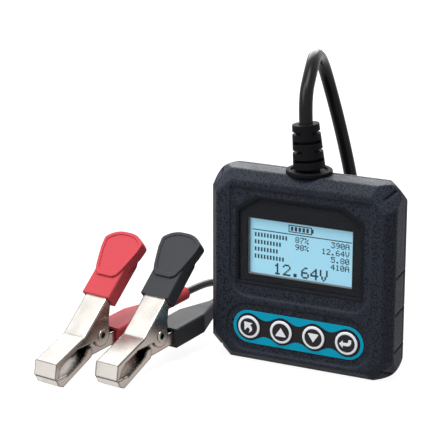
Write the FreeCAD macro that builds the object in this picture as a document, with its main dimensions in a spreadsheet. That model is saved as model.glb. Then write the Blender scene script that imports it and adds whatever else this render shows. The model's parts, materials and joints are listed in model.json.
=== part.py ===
import FreeCAD, Part
import math
import os
from collections import namedtuple
from types import SimpleNamespace

import Sketcher
from FreeCAD import Placement, Rotation, Vector

# A hand-held battery tester with two spring clips on leads, in millimetres.
# The origin is at the middle of the case's base, +Z is up and the display faces -Y.
# Depths of the case's pieces are counted backwards (+Y) from the plane of its front rim.

doc = FreeCAD.newDocument("battery_tester")

# Driving sizes: name, value, what it measures.
SIZES = (
    ("case_width", 109, "case, across the side walls"),
    ("case_height", 110, "case, base to top wall"),
    ("case_depth", 27, "case, front rim to back wall"),
    ("wall", 2.2, "thickness of the case walls"),
    ("front_plate", 3.0, "thickness of the front plate"),
    ("corner_round", 9, "case corners, seen from the front"),
    ("facet_front", 8.3, "front corner facets, in from the corner where the front bevel ends"),
    ("facet_rear", 8.5, "rear corner facets, in from the corner at their back end"),
    ("facet_rear_end", 4.5, "back end of the rear corner facets, in front of the back wall"),
    ("facet_lean", 30, "corner facets, from the line of the depth, in degrees"),
    ("bevel_lean", 45, "the same facets on the front bevel, in degrees"),
    ("cavity_cut", 10.7, "corner chamfer of the hollow inside"),
    ("cavity_round", 7.8, "rounding where that chamfer meets a wall"),
    ("front_bevel", 5.0, "bevel round the front"),
    ("bevel_soft", 1.2, "softening of the bevel's front edge"),
    ("bevel_shoulder", 3.0, "softening of the bevel's edge to the walls"),
    ("rear_round", 8.5, "rounding of the back edges"),
    ("rear_depth", 9.7, "depth of the rear cover"),
    ("parting_gap", 0.3, "reveal between the covers"),
    ("fit_gap", 0.15, "clearance of pieces that sit in a seat"),
    ("free_gap", 0.3, "clearance of pieces that move"),
    ("surround_half_width", 41.5, "display surround, centre to side"),
    ("surround_below", 8.7, "display surround, lower edge below the lens"),
    ("surround_drop", 9, "display surround, upper edge below the case's top"),
    ("surround_round", 11, "display surround, lower corners"),
    ("recess_depth", 0.8, "depth of the surround and of the keypad recess"),
    ("lens_width", 72, "display lens"),
    ("lens_height", 47.3, "display lens"),
    ("lens_drop", 15.2, "display lens, upper edge below the case's top"),
    ("lens_cut_x", 11.8, "top corner of the lens, across"),
    ("lens_cut_z", 7.8, "top corner of the lens, down"),
    ("lens_thick", 1.0, "clear lens"),
    ("mask_thick", 0.2, "printed mask behind the lens"),
    ("window_width", 62, "window in the mask"),
    ("window_height", 32.4, "window in the mask"),
    ("window_rise", 4.1, "window above the lens's lower edge"),
    ("lcd_rim", 1.2, "rim of the LCD frame round its glass"),
    ("lcd_frame_margin", 4.0, "LCD frame beyond the window"),
    ("lcd_frame_depth", 5.0, "LCD frame, front to back"),
    ("lcd_glass_thick", 1.2, "LCD glass"),
    ("backlight_thick", 2.6, "backlight"),
    ("lcd_pin_radius", 0.3, "LCD pins"),
    ("lcd_pin_pitch", 2.54, "LCD pins"),
    ("lcd_pins", 12, "LCD pins, their number"),
    ("key_height", 21, "key centres above the base"),
    ("key_pitch", 19.5, "key centre to key centre"),
    ("key_radius", 6.6, "key cap"),
    ("key_proud", 0.5, "key cap in front of the front rim"),
    ("key_edge", 0.5, "rounding of the key's edge"),
    ("key_flange", 1.0, "collar that keeps the key in, beyond the cap"),
    ("key_flange_thick", 0.9, "collar that keeps the key in"),
    ("key_travel", 0.8, "how far a key goes in"),
    ("pad_half", 29.6, "keypad overlay, centre to the middle of its round end"),
    ("pad_radius", 9.5, "keypad overlay, round end"),
    ("pad_thick", 0.35, "keypad overlay"),
    ("pad_margin", 4.5, "keypad recess beyond the overlay"),
    ("stem_radius", 1.7, "switch plunger"),
    ("switch_side", 6.0, "tact switch"),
    ("switch_height", 3.5, "tact switch"),
    ("board_depth", 10.5, "front of the circuit board"),
    ("board_thick", 1.6, "circuit board"),
    ("board_side", 13.5, "circuit board, side edge inside the case's side"),
    ("board_bottom", 8, "circuit board, lower edge"),
    ("board_drop", 13, "circuit board, upper edge below the case's top"),
    ("board_screw_side", 3, "board screws, inside the board's side edge"),
    ("board_screw_low", 38.5, "board screws, lower pair"),
    ("board_screw_drop", 5, "board screws, upper pair below the board's upper edge"),
    ("board_post_radius", 2.5, "posts that carry the board"),
    ("board_screw_radius", 1.1, "board screws"),
    ("board_screw_head", 1.5, "board screws, thickness of the head"),
    ("chip_side", 12, "microcontroller"),
    ("chip_thick", 1.6, "microcontroller"),
    ("chip_x", -8, "microcontroller, from the middle"),
    ("chip_drop", 42, "microcontroller, below the board's upper edge"),
    ("buzzer_radius", 6, "buzzer"),
    ("buzzer_height", 7.5, "buzzer"),
    ("buzzer_x", 27, "buzzer, from the middle"),
    ("buzzer_rise", 16, "buzzer, above the board's lower edge"),
    ("resistor_length", 24, "load resistors"),
    ("resistor_side", 8, "load resistors"),
    ("resistor_pitch", 12, "load resistors, one above the other"),
    ("resistor_x", -22, "load resistors, from the middle"),
    ("transistor_width", 10, "transistors"),
    ("transistor_height", 9, "transistors"),
    ("transistor_thick", 4.5, "transistors"),
    ("transistor_pitch", 14, "transistors, side by side"),
    ("transistor_x", -26, "transistors, the first one from the middle"),
    ("transistor_drop", 23, "transistors, below the board's upper edge"),
    ("capacitor_radius", 4, "capacitors"),
    ("capacitor_height", 8.5, "capacitors"),
    ("capacitor_pitch", 12, "capacitors, one to the next"),
    ("capacitor_x", 25, "capacitors, the upper one from the middle"),
    ("capacitor_drop", 35, "capacitors, the upper one below the board's upper edge"),
    ("terminal_width", 18, "terminal block of the cable"),
    ("terminal_height", 9, "terminal block of the cable"),
    ("terminal_depth", 8, "terminal block of the cable"),
    ("case_screw_side", 9, "case screws, inside the case's side"),
    ("case_screw_edge", 13, "case screws, from base and from top"),
    ("case_post_radius", 3.6, "posts for the case screws"),
    ("case_screw_radius", 1.3, "case screws"),
    ("case_screw_head", 2.2, "case screws, thickness of the head"),
    ("screw_well_radius", 3.3, "wells for the heads of the case screws"),
    ("screw_well_depth", 6, "wells for the heads of the case screws"),
    ("boot_flange_radius", 12.7, "flange of the cable boot"),
    ("boot_flange_thick", 2.0, "flange of the cable boot"),
    ("boot_neck_radius", 8.0, "neck of the boot in the top wall"),
    ("boot_collar_radius", 9.4, "collar of the boot under the top wall"),
    ("boot_collar_thick", 2.5, "collar of the boot under the top wall"),
    ("boot_base_radius", 8.8, "ribbed part of the boot, bottom"),
    ("boot_tip_radius", 7.4, "ribbed part of the boot, top"),
    ("boot_height", 25, "ribbed part of the boot"),
    ("boot_core_radius", 5.9, "boot at the bottom of its slots"),
    ("boot_slots", 4, "rows of slots in the boot"),
    ("boot_slot_height", 1.7, "one slot"),
    ("boot_slot_sweep", 130, "one slot, in degrees round the boot"),
    ("boot_dish", 1.0, "ring groove between the flange and the ribbed part"),
    ("boot_lean", 6, "lean of the ribbed part to the left, in degrees"),
    ("boot_twist", 26, "slots, turned from the case, in degrees"),
    ("cable_rise", 11.4, "main cable straight on above the boot"),
    ("cable_radius", 3.75, "main cable"),
    ("cable_seat", 11.5, "main cable inside the boot"),
    ("core_radius", 0.75, "cores of the main cable"),
    ("groove_width", 1.5, "grip grooves and corner slots"),
    ("groove_depth", 1.1, "grip grooves and corner slots"),
    ("groove_pitch", 21, "grip grooves on the side walls"),
    ("groove_low", 16.7, "lowest grip groove"),
    ("groove_tilt", 6, "slope of the grip grooves, in degrees"),
    ("red_turn", 9, "red clip, turned from straight back, in degrees"),
    ("red_aside", 55.5, "red clip's tip, beside the case"),
    ("red_ahead", 77.5, "red clip's tip, in front of the case"),
    ("black_turn", 8, "black clip, turned from straight back, in degrees"),
    ("black_aside", 25.2, "black clip's tip, beside the case"),
    ("black_ahead", 64.4, "black clip's tip, in front of the case"),
    ("jaw_width", 15, "clip jaws"),
    ("sheet_metal", 0.9, "steel of the jaws"),
    ("nest_gap", 0.3, "clearance between the jaws' ears"),
    ("kink_back", 18.8, "bend of the upper jaw behind the tip"),
    ("kink_height", 22.7, "bend of the upper jaw above the table"),
    ("nose_length", 25.2, "upper jaw in front of its bend"),
    ("nose_slope", 19.2, "upper jaw in front of its bend, in degrees"),
    ("nose_drop", 8.4, "front of the upper jaw"),
    ("nose_rake", 1.3, "front of the upper jaw"),
    ("nose_strip", 2.4, "side strip along the nose"),
    ("arm_slope", 41, "upper arm, in degrees"),
    ("arm_length", 53, "upper arm behind the bend"),
    ("arm_depth", 4.6, "side walls of the upper arm"),
    ("pivot_back", 33.8, "pivot behind the tip"),
    ("pivot_height", 19.8, "pivot above the table"),
    ("ear_radius", 6.6, "ears round the pivot"),
    ("rivet_radius", 2.6, "pivot rivet"),
    ("rivet_bore", 1.8, "hole through the rivet"),
    ("rivet_head", 3.3, "head of the rivet"),
    ("rivet_head_thick", 0.7, "head of the rivet"),
    ("scoop_back", 19.4, "lower jaw, end of its sloping scoop"),
    ("scoop_height", 7.9, "lower jaw, end of its sloping scoop"),
    ("heel_back", 24.5, "lower jaw, where the nested part starts"),
    ("heel_height", 10.0, "lower jaw, where the nested part starts"),
    ("lip_height", 5.6, "lip of the lower jaw"),
    ("scoop_wall", 4.2, "side walls of the scoop"),
    ("lower_slope", 2.7, "lower arm, in degrees"),
    ("lower_end", 72, "end of the lower arm's steel"),
    ("lower_wall", 7.2, "side walls of the lower arm"),
    ("tooth_pitch", 2.2, "teeth of the jaws"),
    ("tooth_depth", 0.9, "teeth of the jaws"),
    ("teeth", 6, "teeth along each jaw side"),
    ("spring_wire", 1.2, "torsion spring wire"),
    ("spring_turns", 4, "torsion spring"),
    ("spring_pitch", 1.75, "torsion spring"),
    ("grip_start", 26.2, "upper grip, along the arm from the bend"),
    ("grip_length", 41.2, "upper grip"),
    ("grip_wall", 1.5, "upper grip round the steel"),
    ("grip_half_width", 9.4, "upper grip"),
    ("grip_under", 8.0, "upper grip below the arm's plate"),
    ("paddle_half_width", 13.2, "thumb pad"),
    ("paddle_start", 12.1, "thumb pad from the front of the grip"),
    ("paddle_rise", 1.6, "thumb pad above the grip"),
    ("paddle_under", 3.2, "thumb pad below the arm's plate"),
    ("paddle_dish", 0.7, "dish inside the thumb pad's rim"),
    ("paddle_inner", 0.835, "dish, as a share of the thumb pad"),
    ("lower_grip_start", 47.5, "lower grip behind the tip"),
    ("lower_grip_box", 26, "lower grip, full-width part"),
    ("lower_grip_taper", 20, "lower grip, tapering part"),
    ("lower_grip_width", 18, "lower grip"),
    ("lower_grip_under", 2.6, "lower grip below the steel"),
    ("lower_grip_over", 1.5, "lower grip above the steel"),
    ("sleeve_radius", 4.2, "cable sleeve of the lower grip"),
    ("sleeve_length", 72.5, "lower grip, front to the end of its sleeve"),
    ("lead_radius", 2.3, "clip leads"),
    ("lead_seat", 14, "lead inside the sleeve"),
    ("lead_straight", 8, "lead straight on behind the sleeve"),
    ("crimp_length", 10, "barrel of the crimp terminal"),
    ("splitter_length", 32, "splitter of the cable"),
    ("splitter_half_width", 9, "splitter, lead end"),
    ("splitter_height", 10.6, "splitter"),
    ("splitter_seat", 6, "cable and leads inside the splitter"),
    ("splitter_straight", 9.5, "leads straight on from the splitter"),
)

# Points of the cable's route after the boot, and the middle of the splitter's face that it ends in.
CABLE_ROUTE = (
    (-6.2, 15.3, 165.2),
    (-10.8, 30.7, 169.0),
    (-14.3, 47.6, 162.4),
    (-13.9, 58.6, 144.9),
    (-7.9, 62.5, 118.7),
    (-2.1, 68.1, 84.5),
    (0, 71, 54),
    (0.5, 78, 29),
    (-1, 94, 11.5),
    (-3, 116, 5),
    (-6, 138, 4.2),
    (-16, 158, 4.2),
    (-35, 168, 4.2),
    (-55, 163, 4.4),
    (-67, 147.5, 5.4),
)
SPLITTER_FACE = Vector(-68.8, 134.6, 5.4)

# Points of each lead between its sleeve and the splitter.
LEAD_ROUTES = {
    "red": ((-88.6, 58, 17), (-85.5, 75, 10.5)),
    "black": ((-65.5, 73, 13.5),),
}


class Dim:
    """A size together with the sheet expression that it comes from."""

    def __init__(self, text, value):
        self.text = text
        self.value = value

    @staticmethod
    def of(other):
        if isinstance(other, Dim):
            return other
        return Dim("(%.6f)" % other, float(other))

    def join(self, other, sign, value):
        return Dim("(%s %s %s)" % (self.text, sign, other.text), value)

    def __add__(self, other):
        other = Dim.of(other)
        return self.join(other, "+", self.value + other.value)

    def __radd__(self, other):
        return Dim.of(other) + self

    def __sub__(self, other):
        other = Dim.of(other)
        return self.join(other, "-", self.value - other.value)

    def __rsub__(self, other):
        return Dim.of(other) - self

    def __mul__(self, other):
        other = Dim.of(other)
        return self.join(other, "*", self.value * other.value)

    def __rmul__(self, other):
        return Dim.of(other) * self

    def __truediv__(self, other):
        other = Dim.of(other)
        return self.join(other, "/", self.value / other.value)

    def __neg__(self):
        return Dim("(-%s)" % self.text, -self.value)


Circle = namedtuple("Circle", "x y r")
Stadium = namedtuple("Stadium", "x y half r")
RoundBox = namedtuple("RoundBox", "left right low high r")


def number(size):
    """The plain value of a size."""
    return Dim.of(size).value


def sine(angle):
    return Dim("sin(%s * 1 deg)" % angle.text, math.sin(math.radians(angle.value)))


def cosine(angle):
    return Dim("cos(%s * 1 deg)" % angle.text, math.cos(math.radians(angle.value)))


def make_sheet():
    """The spreadsheet of driving sizes, and a name for each of its cells."""
    sheet = doc.addObject("Spreadsheet::Sheet", "Sizes")
    names = {}
    for row, (alias, value, note) in enumerate(SIZES, start=1):
        sheet.set("A%d" % row, note)
        sheet.set("B%d" % row, str(value))
        sheet.setAlias("B%d" % row, alias)
        names[alias] = Dim("Sizes." + alias, float(value))
    doc.recompute()
    return SimpleNamespace(**names)


S = make_sheet()
FRONT_DEPTH = S.case_depth - S.rear_depth - S.parting_gap
LENS_BOTTOM = S.case_height - S.lens_drop - S.lens_height
SURROUND_BOTTOM = LENS_BOTTOM - S.surround_below
BOARD_BACK = S.board_depth + S.board_thick
BOARD_TOP = S.case_height - S.board_drop
BOARD_HALF_WIDTH = S.case_width / 2 - S.board_side
nodes = {}


def bind(obj, prop, size):
    obj.setExpression(prop, Dim.of(size).text)


def place(obj, x, y, z, rotation=Rotation()):
    obj.Placement = Placement(Vector(number(x), number(y), number(z)), rotation)
    bind(obj, "Placement.Base.x", x)
    bind(obj, "Placement.Base.y", y)
    bind(obj, "Placement.Base.z", z)


def keep(label, obj):
    """Register the finished object of one piece under its own name."""
    obj.Label = label
    nodes[label] = obj
    return obj


def depth(size):
    """The Y of a depth behind the plane of the front rim."""
    return size - S.case_depth / 2


# Bodies, sketches and features

def new_body(name, x=0, y=0, z=0, rotation=Rotation()):
    body = doc.addObject("PartDesign::Body", name)
    place(body, x, y, z, rotation)
    return body


def case_body(name):
    """A body whose own y = 0 is the plane of the front rim."""
    return new_body(name, 0, depth(0), 0)


def add_polygon(sketch, points):
    first = sketch.GeometryCount
    count = len(points)
    values = [Vector(number(x), number(y), 0) for x, y in points]
    for i in range(count):
        sketch.addGeometry(Part.LineSegment(values[i], values[(i + 1) % count]), False)
    for i in range(count):
        sketch.addConstraint(Sketcher.Constraint("Coincident", first + i, 2, first + (i + 1) % count, 1))
    for i, (x, y) in enumerate(points):
        pin_point(sketch, first + i, 1, x, y)


def pin_point(sketch, geometry, vertex, x, y):
    for kind, size in (("DistanceX", x), ("DistanceY", y)):
        index = sketch.addConstraint(Sketcher.Constraint(kind, -1, 1, geometry, vertex, number(size)))
        bind(sketch, "Constraints[%d]" % index, size)


def pin_radius(sketch, geometry, radius):
    index = sketch.addConstraint(Sketcher.Constraint("Radius", geometry, number(radius)))
    bind(sketch, "Constraints[%d]" % index, radius)


def add_circle(sketch, circle):
    centre = Vector(number(circle.x), number(circle.y), 0)
    index = sketch.addGeometry(Part.Circle(centre, Vector(0, 0, 1), number(circle.r)), False)
    pin_point(sketch, index, 3, circle.x, circle.y)
    pin_radius(sketch, index, circle.r)


def add_stadium(sketch, stadium):
    """A slot shape: two half circles joined by straight lines."""
    x, y, half, r = (number(value) for value in stadium)
    up = Vector(0, 0, 1)
    quarter = math.pi / 2
    right = Part.ArcOfCircle(Part.Circle(Vector(x + half, y, 0), up, r), -quarter, quarter)
    left = Part.ArcOfCircle(Part.Circle(Vector(x - half, y, 0), up, r), quarter, 3 * quarter)
    top = Part.LineSegment(Vector(x + half, y + r, 0), Vector(x - half, y + r, 0))
    bottom = Part.LineSegment(Vector(x - half, y - r, 0), Vector(x + half, y - r, 0))
    first = sketch.GeometryCount
    for curve in (right, top, left, bottom):
        sketch.addGeometry(curve, False)
    for i in range(4):
        sketch.addConstraint(Sketcher.Constraint("Tangent", first + i, 2, first + (i + 1) % 4, 1))
    sketch.addConstraint(Sketcher.Constraint("Equal", first, first + 2))
    pin_point(sketch, first, 3, stadium.x + stadium.half, stadium.y)
    pin_point(sketch, first + 2, 3, stadium.x - stadium.half, stadium.y)
    pin_radius(sketch, first, stadium.r)


def add_round_box(sketch, shape):
    """A rectangle with round corners: four lines and four arcs."""
    left, right, low, high, r = (number(value) for value in shape)
    up = Vector(0, 0, 1)
    quarter = math.pi / 2
    first = sketch.GeometryCount
    sides = (
        ((left + r, low), (right - r, low)), ((right, low + r), (right, high - r)),
        ((right - r, high), (left + r, high)), ((left, high - r), (left, low + r)),
    )
    centres = ((right - r, low + r), (right - r, high - r), (left + r, high - r), (left + r, low + r))
    for i, (line, centre) in enumerate(zip(sides, centres)):
        start, end = (Vector(x, y, 0) for x, y in line)
        sketch.addGeometry(Part.LineSegment(start, end), False)
        corner = Part.Circle(Vector(centre[0], centre[1], 0), up, r)
        sketch.addGeometry(Part.ArcOfCircle(corner, (i - 1) * quarter, i * quarter), False)
    for i in range(8):
        sketch.addConstraint(Sketcher.Constraint("Tangent", first + i, 2, first + (i + 1) % 8, 1))
    for i in (3, 5, 7):
        sketch.addConstraint(Sketcher.Constraint("Equal", first + 1, first + i))
    for i, kind in enumerate(("Horizontal", "Vertical", "Horizontal", "Vertical")):
        sketch.addConstraint(Sketcher.Constraint(kind, first + 2 * i))
    pin_radius(sketch, first + 1, shape.r)
    pin_point(sketch, first + 3, 3, shape.right - shape.r, shape.high - shape.r)
    pin_point(sketch, first + 7, 3, shape.left + shape.r, shape.low + shape.r)


def sketch_on(body, role, loops, offset=0):
    """A sketch of closed loops on an origin plane of its body, moved along the plane's normal by offset."""
    sketch = body.newObject("Sketcher::SketchObject", body.Name + "_sketch")
    plane = [item for item in body.Origin.OriginFeatures if item.Role == role][0]
    sketch.AttachmentSupport = [(plane, "")]
    sketch.MapMode = "FlatFace"
    sketch.AttachmentOffset = Placement(Vector(0, 0, number(offset)), Rotation())
    bind(sketch, "AttachmentOffset.Base.z", offset)
    for loop in loops:
        if isinstance(loop, Circle):
            add_circle(sketch, loop)
        elif isinstance(loop, Stadium):
            add_stadium(sketch, loop)
        elif isinstance(loop, RoundBox):
            add_round_box(sketch, loop)
        else:
            add_polygon(sketch, loop)
    return sketch


def solid_volume(body):
    return body.Tip.Shape.Volume if body.Tip else 0.0


def extrude(kind, body, sketch, length, reverse=False, middle=False):
    before = solid_volume(body)
    feature = body.newObject("PartDesign::" + kind, body.Name + "_" + kind.lower())
    feature.Profile = sketch
    bind(feature, "Length", length)
    feature.Reversed = reverse
    if middle:
        feature.SideType = "Symmetric"
    doc.recompute()
    change = feature.Shape.Volume - before
    if (kind == "Pad") != (change > 0) or abs(change) < 1e-6:
        raise ValueError("%s of %s changes nothing" % (kind, body.Name))
    return feature


def pad_back(body, loops, start, end):
    """Material between two depths, from loops seen from the front."""
    return extrude("Pad", body, sketch_on(body, "XZ_Plane", loops, -start), end - start, reverse=True)


def cut_back(body, loops, start, end):
    return extrude("Pocket", body, sketch_on(body, "XZ_Plane", loops, -start), end - start)


def pad_up(body, loops, start, end):
    """Material between two heights, from loops seen from above."""
    return extrude("Pad", body, sketch_on(body, "XY_Plane", loops, start), end - start)


def cut_up(body, loops, start, end):
    return extrude("Pocket", body, sketch_on(body, "XY_Plane", loops, start), end - start, reverse=True)


def pad_across(body, loops, width):
    """Material across the width, from loops seen from the side."""
    return extrude("Pad", body, sketch_on(body, "YZ_Plane", loops), width, middle=True)


def cut_across(body, loops, width):
    return extrude("Pocket", body, sketch_on(body, "YZ_Plane", loops), width, middle=True)


def edge_names(shape, test):
    return ["Edge%d" % i for i, edge in enumerate(shape.Edges, start=1) if test(edge)]


def dress(kind, body, names, size):
    """A fillet or a chamfer on named edges of the body's tip."""
    base = body.Tip
    feature = body.newObject("PartDesign::" + kind, body.Name + "_" + kind.lower())
    feature.Base = (base, names)
    bind(feature, "Radius" if kind == "Fillet" else "Size", size)
    doc.recompute()
    if feature.Shape.isNull() or not feature.Shape.isValid():
        raise ValueError("%s of %s failed" % (kind, body.Name))
    return feature


def runs_along(edge, axis):
    """True for a straight edge along one axis, 0, 1 or 2."""
    if not isinstance(edge.Curve, Part.Line):
        return False
    return abs(abs(edge.Curve.Direction[axis]) - 1) < 1e-6


def lies_at(edge, axis, value):
    """True for an edge that lies wholly at one coordinate."""
    box = edge.BoundBox
    low = (box.XMin, box.YMin, box.ZMin)[axis]
    high = (box.XMax, box.YMax, box.ZMax)[axis]
    return abs(low - number(value)) < 1e-4 and abs(high - number(value)) < 1e-4


def middle_of(edge):
    return edge.CenterOfMass


# Primitives

ALONG_Y = Rotation(Vector(1, 0, 0), -90)


def box(name, low, high):
    """A block between two corners."""
    block = doc.addObject("Part::Box", name)
    for prop, start, end in zip(("Length", "Width", "Height"), low, high):
        bind(block, prop, Dim.of(end) - start)
    place(block, *low)
    return block


def cylinder(name, radius, length, x, y, z, rotation=Rotation()):
    rod = doc.addObject("Part::Cylinder", name)
    bind(rod, "Radius", radius)
    bind(rod, "Height", length)
    place(rod, x, y, z, rotation)
    return rod


def cut(name, base, tool):
    result = doc.addObject("Part::Cut", name)
    result.Base = base
    result.Tool = tool
    return result


def fuse(name, *pieces):
    result = doc.addObject("Part::MultiFuse", name)
    result.Shapes = list(pieces)
    return result


def group(name, pieces):
    result = doc.addObject("Part::Compound", name)
    result.Links = list(pieces)
    return result


# Case

def cavity_outline():
    """The hollow of the case seen from the front."""
    half = S.case_width / 2 - S.wall
    corner = S.cavity_cut
    low = S.wall
    high = S.case_height - S.wall
    return [
        (corner - half, low), (half - corner, low), (half, low + corner), (half, high - corner),
        (half - corner, high), (corner - half, high), (-half, high - corner), (-half, low + corner),
    ]


def screw_points(x, low, high):
    return [(side * x, z) for side in (-1, 1) for z in (low, high)]


def board_screws():
    x = BOARD_HALF_WIDTH - S.board_screw_side
    return screw_points(x, S.board_screw_low, BOARD_TOP - S.board_screw_drop)


def case_screws():
    x = S.case_width / 2 - S.case_screw_side
    return screw_points(x, S.case_screw_edge, S.case_height - S.case_screw_edge)


def key_places():
    return [(S.key_pitch * step, S.key_height) for step in (-1.5, -0.5, 0.5, 1.5)]


def lens_outline(grow=0):
    """The lens seen from the front, with its two cut top corners."""
    half = S.lens_width / 2 + grow
    low = LENS_BOTTOM - grow
    high = LENS_BOTTOM + S.lens_height + grow
    shoulder = high - S.lens_cut_z
    return [
        (-half, low), (half, low), (half, shoulder), (half - S.lens_cut_x, high),
        (S.lens_cut_x - half, high), (-half, shoulder),
    ]


def window_outline(grow=0):
    half = S.window_width / 2 + grow
    low = LENS_BOTTOM + S.window_rise - grow
    high = LENS_BOTTOM + S.window_rise + S.window_height + grow
    return [(-half, low), (half, low), (half, high), (-half, high)]


def boot_axis():
    return S.case_depth / 2


def lens_seat():
    """Depth of the floor that the lens and its mask lie on."""
    return S.recess_depth + S.fit_gap + S.lens_thick + S.mask_thick


def shell_cover(name, start, end, cavity_start, cavity_end):
    """A tray with the case's outline: walls between two depths, hollow between two others."""
    body = case_body(name)
    half = S.case_width / 2
    outline = RoundBox(-half, half, Dim.of(0), S.case_height, S.corner_round)
    pad_back(body, [outline], start, end)
    cut_back(body, [cavity_outline()], cavity_start, cavity_end)
    inner = edge_names(body.Tip.Shape, is_cavity_corner)
    dress("Fillet", body, inner, S.cavity_round)
    return body


def is_cavity_corner(edge):
    """True for an edge along the depth at a corner point of the cavity's outline."""
    if not runs_along(edge, 1):
        return False
    point = middle_of(edge)
    for x, z in cavity_outline():
        if abs(point.x - number(x)) < 1e-3 and abs(point.z - number(z)) < 1e-3:
            return True
    return False


def boot_seat(body):
    """Room for the boot's collar under the top wall, and the hole for its neck."""
    top = S.case_height
    room = Circle(Dim.of(0), boot_axis(), S.boot_collar_radius + S.free_gap)
    cut_up(body, [room], top - 4 * S.wall, top - S.wall)
    neck = Circle(Dim.of(0), boot_axis(), S.boot_neck_radius + S.free_gap)
    cut_up(body, [neck], top - 2 * S.wall, top + S.wall)


def facet_turn(side, end, lean, backward):
    """The turn of a block on a corner facet: its z axis stands out of the facet, its x axis runs up the slope."""
    angle = math.radians(number(lean))
    outward = Vector(side, 0, end) * math.sqrt(0.5)
    along = Vector(0, backward, 0)
    normal = outward * math.cos(angle) - along * math.sin(angle)
    slope = outward * math.sin(angle) + along * math.cos(angle)
    return Rotation(slope, normal.cross(slope), normal, "ZXY")


def facet_block(name, side, end, turn, inset, at, length, width, under, over):
    """A cutter on a corner facet, about the point that is inset from the case's corner at one depth."""
    cutter = doc.addObject("Part::Box", name)
    bind(cutter, "Length", length)
    bind(cutter, "Width", width)
    bind(cutter, "Height", under + over)
    shift = turn.multVec(Vector(number(length) / 2, number(width) / 2, number(under)))
    aside = inset / math.sqrt(2)
    x = side * (S.case_width / 2 - aside)
    z = aside if end < 0 else S.case_height - aside
    place(cutter, x - shift.x, depth(at) - shift.y, z - shift.z, turn)
    return cutter


def corner_cutters():
    """Cutters for the facets of each corner of the case, and for the slot across the front ones."""
    cutters = []
    reach = S.case_depth * 2
    none = Dim.of(0)
    back = S.case_depth - S.facet_rear_end
    slot_depth = S.front_bevel * 1.5
    slot_inset = S.facet_front - S.front_bevel * 0.5 * math.tan(math.radians(number(S.facet_lean)))
    for side in (-1, 1):
        for end in (-1, 1):
            bevel = facet_turn(side, end, S.bevel_lean, 1)
            front = facet_turn(side, end, S.facet_lean, 1)
            rear = facet_turn(side, end, S.facet_lean, -1)
            cutters.append(facet_block("bevel_facet", side, end, bevel, S.facet_front, S.front_bevel,
                                       reach, reach, none, reach))
            cutters.append(facet_block("front_facet", side, end, front, S.facet_front, S.front_bevel,
                                       reach, reach, none, reach))
            cutters.append(facet_block("rear_facet", side, end, rear, S.facet_rear, back,
                                       reach, reach, none, reach))
            cutters.append(facet_block("corner_slot", side, end, front, slot_inset, slot_depth,
                                       S.front_bevel * 2, S.groove_width, S.groove_depth, reach))
    return cutters


def grip_grooves():
    """Cutters for the grooves across both side walls."""
    cutters = []
    length = S.case_depth - S.front_bevel - S.rear_round / 2
    for side in (-1, 1):
        for step in range(3):
            cutter = doc.addObject("Part::Box", "grip_groove")
            bind(cutter, "Length", S.groove_depth * 2)
            bind(cutter, "Width", length)
            bind(cutter, "Height", S.groove_width)
            x = side * S.case_width / 2 - S.groove_depth
            z = S.groove_low + S.groove_pitch * step
            place(cutter, x, depth(S.front_bevel + 1), z, Rotation(Vector(1, 0, 0), number(S.groove_tilt)))
            cutters.append(cutter)
    return cutters


def front_cover():
    body = shell_cover("front_cover_body", Dim.of(0), FRONT_DEPTH, S.front_plate, FRONT_DEPTH)
    rim = edge_names(body.Tip.Shape, lambda edge: lies_at(edge, 1, 0))
    dress("Chamfer", body, rim, S.front_bevel)
    inner = edge_names(body.Tip.Shape, lambda edge: lies_at(edge, 1, S.front_plate))
    dress("Chamfer", body, inner, S.front_bevel - S.wall * (2 - math.sqrt(2)))
    shoulders = edge_names(body.Tip.Shape, lambda edge: lies_at(edge, 1, S.front_bevel))
    dress("Fillet", body, shoulders, S.bevel_shoulder)
    creases = edge_names(body.Tip.Shape, lambda edge: lies_at(edge, 1, 0))
    dress("Fillet", body, creases, S.bevel_soft)
    boot_seat(body)

    half = S.surround_half_width
    top = S.case_height - S.surround_drop
    surround = [(-half, SURROUND_BOTTOM), (half, SURROUND_BOTTOM), (half, top), (-half, top)]
    cut_back(body, [surround], Dim.of(0), S.recess_depth)
    lower_corners = edge_names(body.Tip.Shape, lambda edge: runs_along(edge, 1)
                               and abs(middle_of(edge).z - number(SURROUND_BOTTOM)) < 1e-3)
    dress("Fillet", body, lower_corners, S.surround_round)
    keypad = Stadium(Dim.of(0), S.key_height, S.pad_half, S.pad_radius + S.pad_margin)
    cut_back(body, [keypad], Dim.of(0), S.recess_depth)
    cut_back(body, [lens_outline(S.fit_gap)], S.recess_depth, lens_seat())
    cut_back(body, [window_outline(S.lcd_rim)], lens_seat(), S.front_plate)
    holes = [Circle(x, z, S.key_radius + S.free_gap) for x, z in key_places()]
    cut_back(body, holes, S.recess_depth, S.front_plate)

    posts = [Circle(x, z, S.board_post_radius) for x, z in board_screws()]
    pad_back(body, posts, S.front_plate, S.board_depth)
    pilots = [Circle(x, z, S.board_screw_radius + S.fit_gap / 3) for x, z in board_screws()]
    cut_back(body, pilots, S.front_plate + S.wall / 2, S.board_depth)
    posts = [Circle(x, z, S.case_post_radius) for x, z in case_screws()]
    pad_back(body, posts, S.front_plate, FRONT_DEPTH)
    pilots = [Circle(x, z, S.case_screw_radius + S.fit_gap / 3) for x, z in case_screws()]
    cut_back(body, pilots, S.front_plate + S.wall / 2, FRONT_DEPTH)
    return body


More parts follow.
